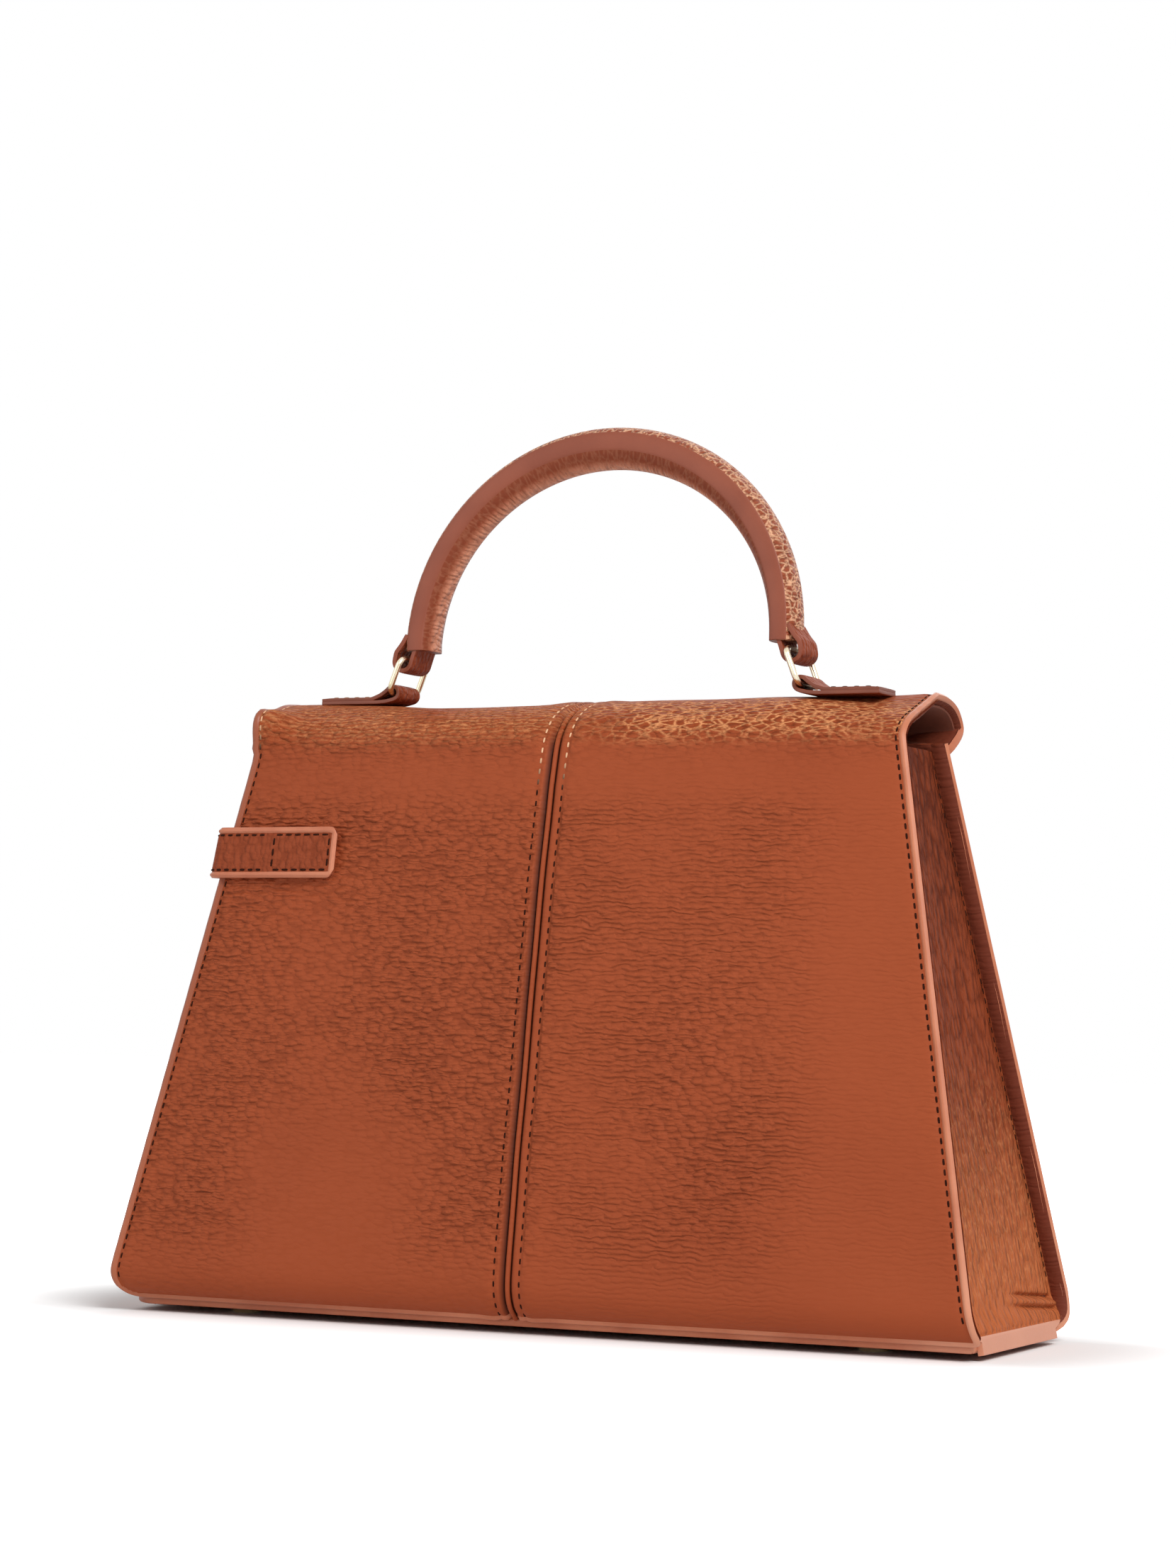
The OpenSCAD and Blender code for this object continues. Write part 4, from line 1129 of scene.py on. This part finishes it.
ring = {"wire": 0.86, "halfDeep": 8.4, "low": (64.0, 179.65), "high": (60.2, 189.55), "corner": 2.6}
for side, label in bothSides:
    low, high = np.array(ring["low"]), np.array(ring["high"])
    tall = np.linalg.norm(high - low)
    flat = boxLine(ring["halfDeep"], 0, tall, ring["corner"], 8)
    rise = (high - low) / tall
    dropSelection()
    bpy.ops.curve.primitive_nurbs_path_add(radius=0.01)
    wire = bpy.context.object
    wire.data.splines.clear()
    spline = wire.data.splines.new("POLY")
    spline.points.add(len(flat) - 1)
    for point, (y, h) in zip(spline.points, flat):
        x, z = side * (low[0] + rise[0] * h), low[1] + rise[1] * h
        point.co = (x * mm, (bag["handleY"] + y) * mm, z * mm, 1)
    spline.use_cyclic_u = True
    wire.data.dimensions = "3D"
    wire.data.bevel_depth, wire.data.bevel_resolution = ring["wire"] * mm, 5
    bpy.ops.object.convert(target="MESH")
    wire = bpy.context.object
    wire.name = "wireRing" + label
    placeInMesh(wire)
    merged(wire)
    smooth(wire, 60)
    dress(wire, goldMetal)
    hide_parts("ring_" + label.lower())
    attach(wire, "ring_" + label.lower())
print("rings ready")


# handle: a domed section with flat painted bands, spun into an arch, with straight legs

handle = {"bandOuter": 58.9, "bandInner": 55.1, "halfWide": 6.25, "domeOut": 2.6, "domeLeg": 2.1,
          "domeTop": 5.9, "centreZ": 194.5, "legEnd": 191.9, "middle": 56.6, "lean": 6.0, "leanOver": 60}


def handleSection():
    # radius and depth of the outline, once round, with a small step where each dome meets the flat bands
    w = handle["halfWide"]
    t = np.concatenate([[-1], np.linspace(-0.975, 0.975, 15), [1]])
    rise = np.concatenate([[0], 0.35 + np.zeros(15), [0]])
    swell = (1 - np.clip(t, -0.975, 0.975) ** 2) ** 0.75
    outer = np.stack([handle["bandOuter"] + rise + (handle["domeOut"] - 0.35) * swell, w * t], 1)
    inner = np.stack([handle["bandInner"] - rise - (handle["domeLeg"] - 0.35) * swell, w * t], 1)[::-1]
    band = np.linspace(handle["bandOuter"], handle["bandInner"], 6)[1:-1]
    puff = 0.18 * np.sin(np.linspace(0, pi, 6))[1:-1]
    bandBack = np.stack([band, w + puff], 1)
    bandFront = np.stack([band[::-1], -w - puff], 1)
    return np.concatenate([outer, bandBack, inner, bandFront])


def archOver(name, section, legEnd, steps):
    # the section is drawn at the foot of one leg, pulled up, spun over the top and pulled down again
    dropSelection()
    bpy.ops.mesh.primitive_circle_add(vertices=len(section), radius=0.01, fill_type="NGON",
                                      location=(0, 0, 0))
    arch = bpy.context.object
    arch.name = name
    for vertex, (r, y) in zip(arch.data.vertices, section):
        vertex.co = (r * mm, (bag["handleY"] + y) * mm, legEnd * mm)
    leg = (handle["centreZ"] - legEnd) * mm
    centre = (0, bag["handleY"] * mm, handle["centreZ"] * mm)
    bpy.ops.object.mode_set(mode="EDIT")
    bpy.ops.mesh.select_all(action="SELECT")
    bpy.ops.mesh.extrude_region_move(TRANSFORM_OT_translate={"value": (0, 0, leg)})
    bpy.ops.mesh.spin(steps=steps, dupli=False, angle=pi, center=centre, axis=(0, 1, 0))
    bpy.ops.mesh.extrude_region_move(TRANSFORM_OT_translate={"value": (0, 0, -leg)})
    bpy.ops.object.mode_set(mode="OBJECT")
    merged(arch)
    return arch


arch = archOver("handle", handleSection(), handle["legEnd"], 84)
for vertex in arch.data.vertices:
    # the underside fills out towards the top, and the whole arch leans a little to the front
    x, y, z = vertex.co / mm
    r, high = sqrt(x * x + max(z - handle["centreZ"], 0) ** 2), max(z - handle["centreZ"], 0)
    if z >= handle["centreZ"] and r < handle["bandInner"] - 0.2:
        t = min(abs(y - bag["handleY"]) / handle["halfWide"], 1)
        more = (handle["domeTop"] - handle["domeLeg"]) * (high / r) * (1 - t * t) ** 0.75
        x, z = x * (1 - more / r), handle["centreZ"] + high * (1 - more / r)
    vertex.co = (x * mm, (y - handle["lean"] * high / handle["leanOver"]) * mm, z * mm)
uvs = arch.data.uv_layers.active or arch.data.uv_layers.new(name="UVMap")
for polygon in arch.data.polygons:
    for corner in polygon.loop_indices:
        x, y, z = arch.data.vertices[arch.data.loops[corner].vertex_index].co / mm
        high = max(z - handle["centreZ"], 0)
        along = np.arctan2(high, x) * handle["middle"] + min(z - handle["centreZ"], 0) * (1 if x > 0 else -1)
        outside = 40 if x * x + high ** 2 > handle["middle"] ** 2 else 0
        y += handle["lean"] * high / handle["leanOver"] - bag["handleY"]
        uvs.data[corner].uv = (along / 100, (y + outside) / 100)
dress(arch, handleLeather, bandPaint)
for polygon in arch.data.polygons:
    c, n = polygon.center / mm, polygon.normal
    leaning = bag["handleY"] - handle["lean"] * max(c.z - handle["centreZ"], 0) / handle["leanOver"]
    polygon.material_index = 1 if abs(c.y - leaning) > handle["halfWide"] - 0.12 and abs(n.y) > 0.55 else 0
smooth(arch, 50)
rounded(arch, 0.2, 2, 40)
smooth(arch, 60)
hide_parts("handle_outer", "handle_inner")
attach(arch, "handle")

core = {"radius": 56.6, "wide": 7.6, "thick": 3.2, "legEnd": 192.5}
turn = np.linspace(0, 2 * pi, 21)[:-1]
coreSection = np.stack([core["radius"] - np.sin(turn) * core["thick"] / 2,
                        np.cos(turn) * core["wide"] / 2], 1)
cord = archOver("handleCore", coreSection, core["legEnd"], 60)
for vertex in cord.data.vertices:
    vertex.co.y -= handle["lean"] * max(vertex.co.z - handle["centreZ"] * mm, 0) / handle["leanOver"]
smooth(cord, 50)
dress(cord, coreCord)
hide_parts("handle_core")
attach(cord, "handle")
print("handle ready")


# end loops: the handle's leather folded round the rings' upper bars

loop = {"x": 61.1, "z": 188.8, "radius": 3.35, "halfWide": 6.0, "layer": 1.3}
for side, label in bothSides:
    line = np.concatenate([[[55.9, 196.5], [56.2, 192.8], [57.1, 190.4]],
                           arcLine((loop["x"], loop["z"]), loop["radius"], 190, 378, 22),
                           [[63.9, 191.8], [61.9, 194.2], [60.3, 196.8]]])
    line[:, 0] *= side
    piece = folded("handleLoop" + label, line, loop["halfWide"], loop["layer"], 0.35, (-side, 0))
    dress(piece, strapLeather, bandPaint)
    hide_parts("handle_loop_" + label.lower())
    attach(piece, "handle")
print("end loops ready")


# closing strap: from its sewn end on the back, round the left side and over the front to the lock

strap = {"halfWide": 7.45, "thick": 2.5, "z": 132.0, "start": 68.1, "sewnTo": 89.0, "tip": -14.5,
         "slot": (14.0, 7.8), "border": 1.7, "stitchIn": 2.35}
turnX = float(halfWidth(strap["z"] - 7)) + 0.2
panelY = float(faceY(strap["z"]))
cornerUp = np.array([-sideSlope, -lean, 1])
backX = np.linspace(strap["start"], turnX - 2.6, 34)
backSpan = float(fullAt(strap["z"])) * (1 - (backX / halfWidth(strap["z"])) ** 2.2)
strapWay = [(x, panelY + 0.9 * b + strap["thick"]) for x, b in zip(backX, backSpan)]
strapWay += [(turnX - 1.6 + 4.1 * cos(a), panelY - 1.6 + 4.1 * sin(a)) for a in np.linspace(pi / 2, 0, 12)]
sideY = np.linspace(panelY - 3.2, -23.2, 26)
strapWay += [(turnX + strap["thick"] - 0.9 * sin(pi * (panelY - 3.2 - y) / (panelY + 20)) ** 2, y)
             for y in sideY]
strapWay += [(turnX - 0.8 + 3.3 * cos(a), -24.4 + 3.3 * sin(a)) for a in np.linspace(-0.12, -pi / 2, 12)]
strapWay += list(bezierLine((turnX - 2.6, -27.75), (92, -28.2), (76, -32.2), (60, -33.9), 30))
strapWay += [(x, -33.95) for x in np.linspace(58, strap["tip"], 62)]
plan = spaced(softened(np.array(strapWay), 1.6), 0.8)
headings = heading(plan)
strapOut = np.stack([-headings[:, 1], headings[:, 0]], 1)
if strapOut[3][1] < 0:
    strapOut = -strapOut
strapAlong = lengths(plan)
sideShare = np.clip(strapOut[:, 0], 0, 1)
backShare = np.clip(strapOut[:, 1], 0, 1)
strapUp = np.stack([-sideSlope * sideShare * (plan[:, 1] > -20), -lean * backShare, 1 + 0 * sideShare], 1)
strapUp /= np.linalg.norm(strapUp, axis=1)[:, None]
share = np.sin(np.linspace(-pi / 2, pi / 2, 28))
halfHere = np.full(len(plan), strap["halfWide"])
total = strapAlong[-1]
toTip = total - strapAlong
nearTip = toTip < strap["halfWide"]
offTip = strap["halfWide"] - toTip[nearTip]
halfHere[nearTip] = np.sqrt(np.clip(strap["halfWide"] ** 2 - offTip ** 2, 0.8, None))
nearStart = strapAlong < 2.4
halfHere[nearStart] = strap["halfWide"] - 2.4 + np.sqrt(2.4 ** 2 - (2.4 - strapAlong[nearStart]) ** 2)
flatC = halfHere[:, None] * share[None, :]
flatA = strapAlong[:, None] + 0 * flatC
toRim = np.minimum(strap["halfWide"] - np.abs(flatC), np.minimum(flatA, total - flatA))
sewnPart = flatA < strap["sewnTo"] - strap["start"] + 1.5
swell = 0.06 * np.sin(flatA / 7 + flatC / 5) - 0.45 * peak(toRim, 0, 0.5) + 0.28 * peak(toRim, 0.95, 0.55)
swell -= 0.3 * peak(toRim, strap["border"] + 0.1, 0.3)
swell -= 0.2 * peak(toRim, strap["stitchIn"], 0.4) * sewnPart
strapPlaces = np.zeros(flatC.shape + (3,))
for k in range(3):
    outK = strapOut[:, k, None] if k < 2 else 0
    baseK = plan[:, k, None] if k < 2 else strap["z"]
    strapPlaces[..., k] = baseK + flatC * strapUp[:, k, None] + outK * swell
closing = makeSheet("closingStrap", strapPlaces, np.stack([flatA, flatC], -1), strap["thick"], 0.5,
                    (*strapOut[len(plan) // 2], 0), near=toRim, border=strap["border"])
dress(closing, strapLeather, strapPaint)


def slotShape(long, high, count=48):
    # an upright slot with round ends, as a closed outline in width and height
    r, middle = high / 2, (long - high) / 2
    return np.concatenate([arcLine((middle, 0), r, -90, 90, count // 2),
                           arcLine((-middle, 0), r, 90, 270, count // 2)])


def slotPlate(name, outer, inner, backY, frontY, lip, finish):
    # a flat plate standing in width and height, with or without its slot
    rings = []
    for outline in (outer,) if inner is None else (outer, inner):
        dropSelection()
        bpy.ops.mesh.primitive_circle_add(vertices=len(outline), radius=1,
                                          fill_type="NGON" if inner is None else "NOTHING")
        circle = bpy.context.object
        for vertex, (x, z) in zip(circle.data.vertices, outline):
            vertex.co = (x * mm, backY * mm, (strap["z"] + z) * mm)
        rings.append(circle)
    plate = joined(rings, name)
    bpy.ops.object.mode_set(mode="EDIT")
    bpy.ops.mesh.select_all(action="SELECT")
    if inner is not None:
        bpy.ops.mesh.bridge_edge_loops()
        bpy.ops.mesh.select_all(action="SELECT")
    bpy.ops.mesh.extrude_region_move(TRANSFORM_OT_translate={"value": (0, (frontY - backY) * mm, 0)})
    bpy.ops.object.mode_set(mode="OBJECT")
    merged(plate)
    if lip:
        rounded(plate, lip, 3, 40)
    smooth(plate, 40)
    dress(plate, finish)
    return plate


cutter = slotPlate("slotCutter", slotShape(*strap["slot"]), None, -28, -37, 0, edgePaint)
cut = closing.modifiers.new("slot", "BOOLEAN")
cut.operation, cut.object, cut.solver = "DIFFERENCE", cutter, "EXACT"
applyAll(closing)
dropSelection()
bpy.data.objects.remove(cutter)
smooth(closing, 50)
strapMap = {"x": flatC, "s": strapAlong, "places": strapPlaces}
inset = strap["halfWide"] - strap["stitchIn"]
sewA, sewB = strap["stitchIn"], strap["sewnTo"] - strap["start"]
endPaths = ([[-inset, sewA], [-inset, sewB]], [[inset, sewA], [inset, sewB]],
            [[-inset + 0.4, sewB], [inset - 0.4, sewB]], [[-inset + 0.6, sewA], [inset - 0.6, sewA]])
sewnRow = joined([sewn(strapMap, path, (0, 1, 0), "strapStitches", stitch["strapSize"]) for path in endPaths],
                 "stitchesStrapEnd")
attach(sewnRow, "bag_body")
longRow = joined([sewn(strapMap, [[c, sewB + 3], [c, total - 8]], (0, 1, 0), "strapStitches")
                  for c in (-inset, inset)], "stitchesStrapLong")
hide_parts("strap_anchor", "strap_tongue")
for obj in (closing, longRow):
    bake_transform(obj)
print("strap ready")


# turn lock: slotted plate on the strap, base on the flap, knob on its post

lock = {"plateBack": -34.0, "plateFront": -35.0, "baseBack": -30.0, "baseFront": -31.0,
        "knobBack": -35.3, "knobFront": -37.7, "studBack": -25.7, "postBack": -29.2}
slotRing = slotPlate("slotPlate", slotShape(22, 12, 64), slotShape(13, 7.2, 64), lock["plateBack"],
                     lock["plateFront"], 0.3, goldMetal)
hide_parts("slot_plate")
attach(slotRing, "closure_tongue")
lockBase = slotPlate("turnLockBase", slotShape(20, 12, 64), None, lock["baseBack"], lock["baseFront"],
                     0.3, goldMetal)
stud = slotPlate("stud", slotShape(3.301, 3.3, 24), None, lock["studBack"], lock["baseBack"], 0.1, goldMetal)
lockBase = joined([lockBase, stud], "turnLockBase")
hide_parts("turn_lock_base")
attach(lockBase, "flap")
knob = slotPlate("turnLockKnob", slotShape(11, 3, 48), None, lock["knobBack"], lock["knobFront"],
                 0.7, goldMetal)
post = slotPlate("post", slotShape(2.101, 2.1, 24), None, lock["postBack"], lock["knobBack"], 0.1, goldMetal)
knob = joined([knob, post], "turnLockKnob")
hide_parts("turn_lock_knob")
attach(knob, "lock_knob")
print("lock ready")

dropSelection()
bpy.data.objects.remove(pattern)
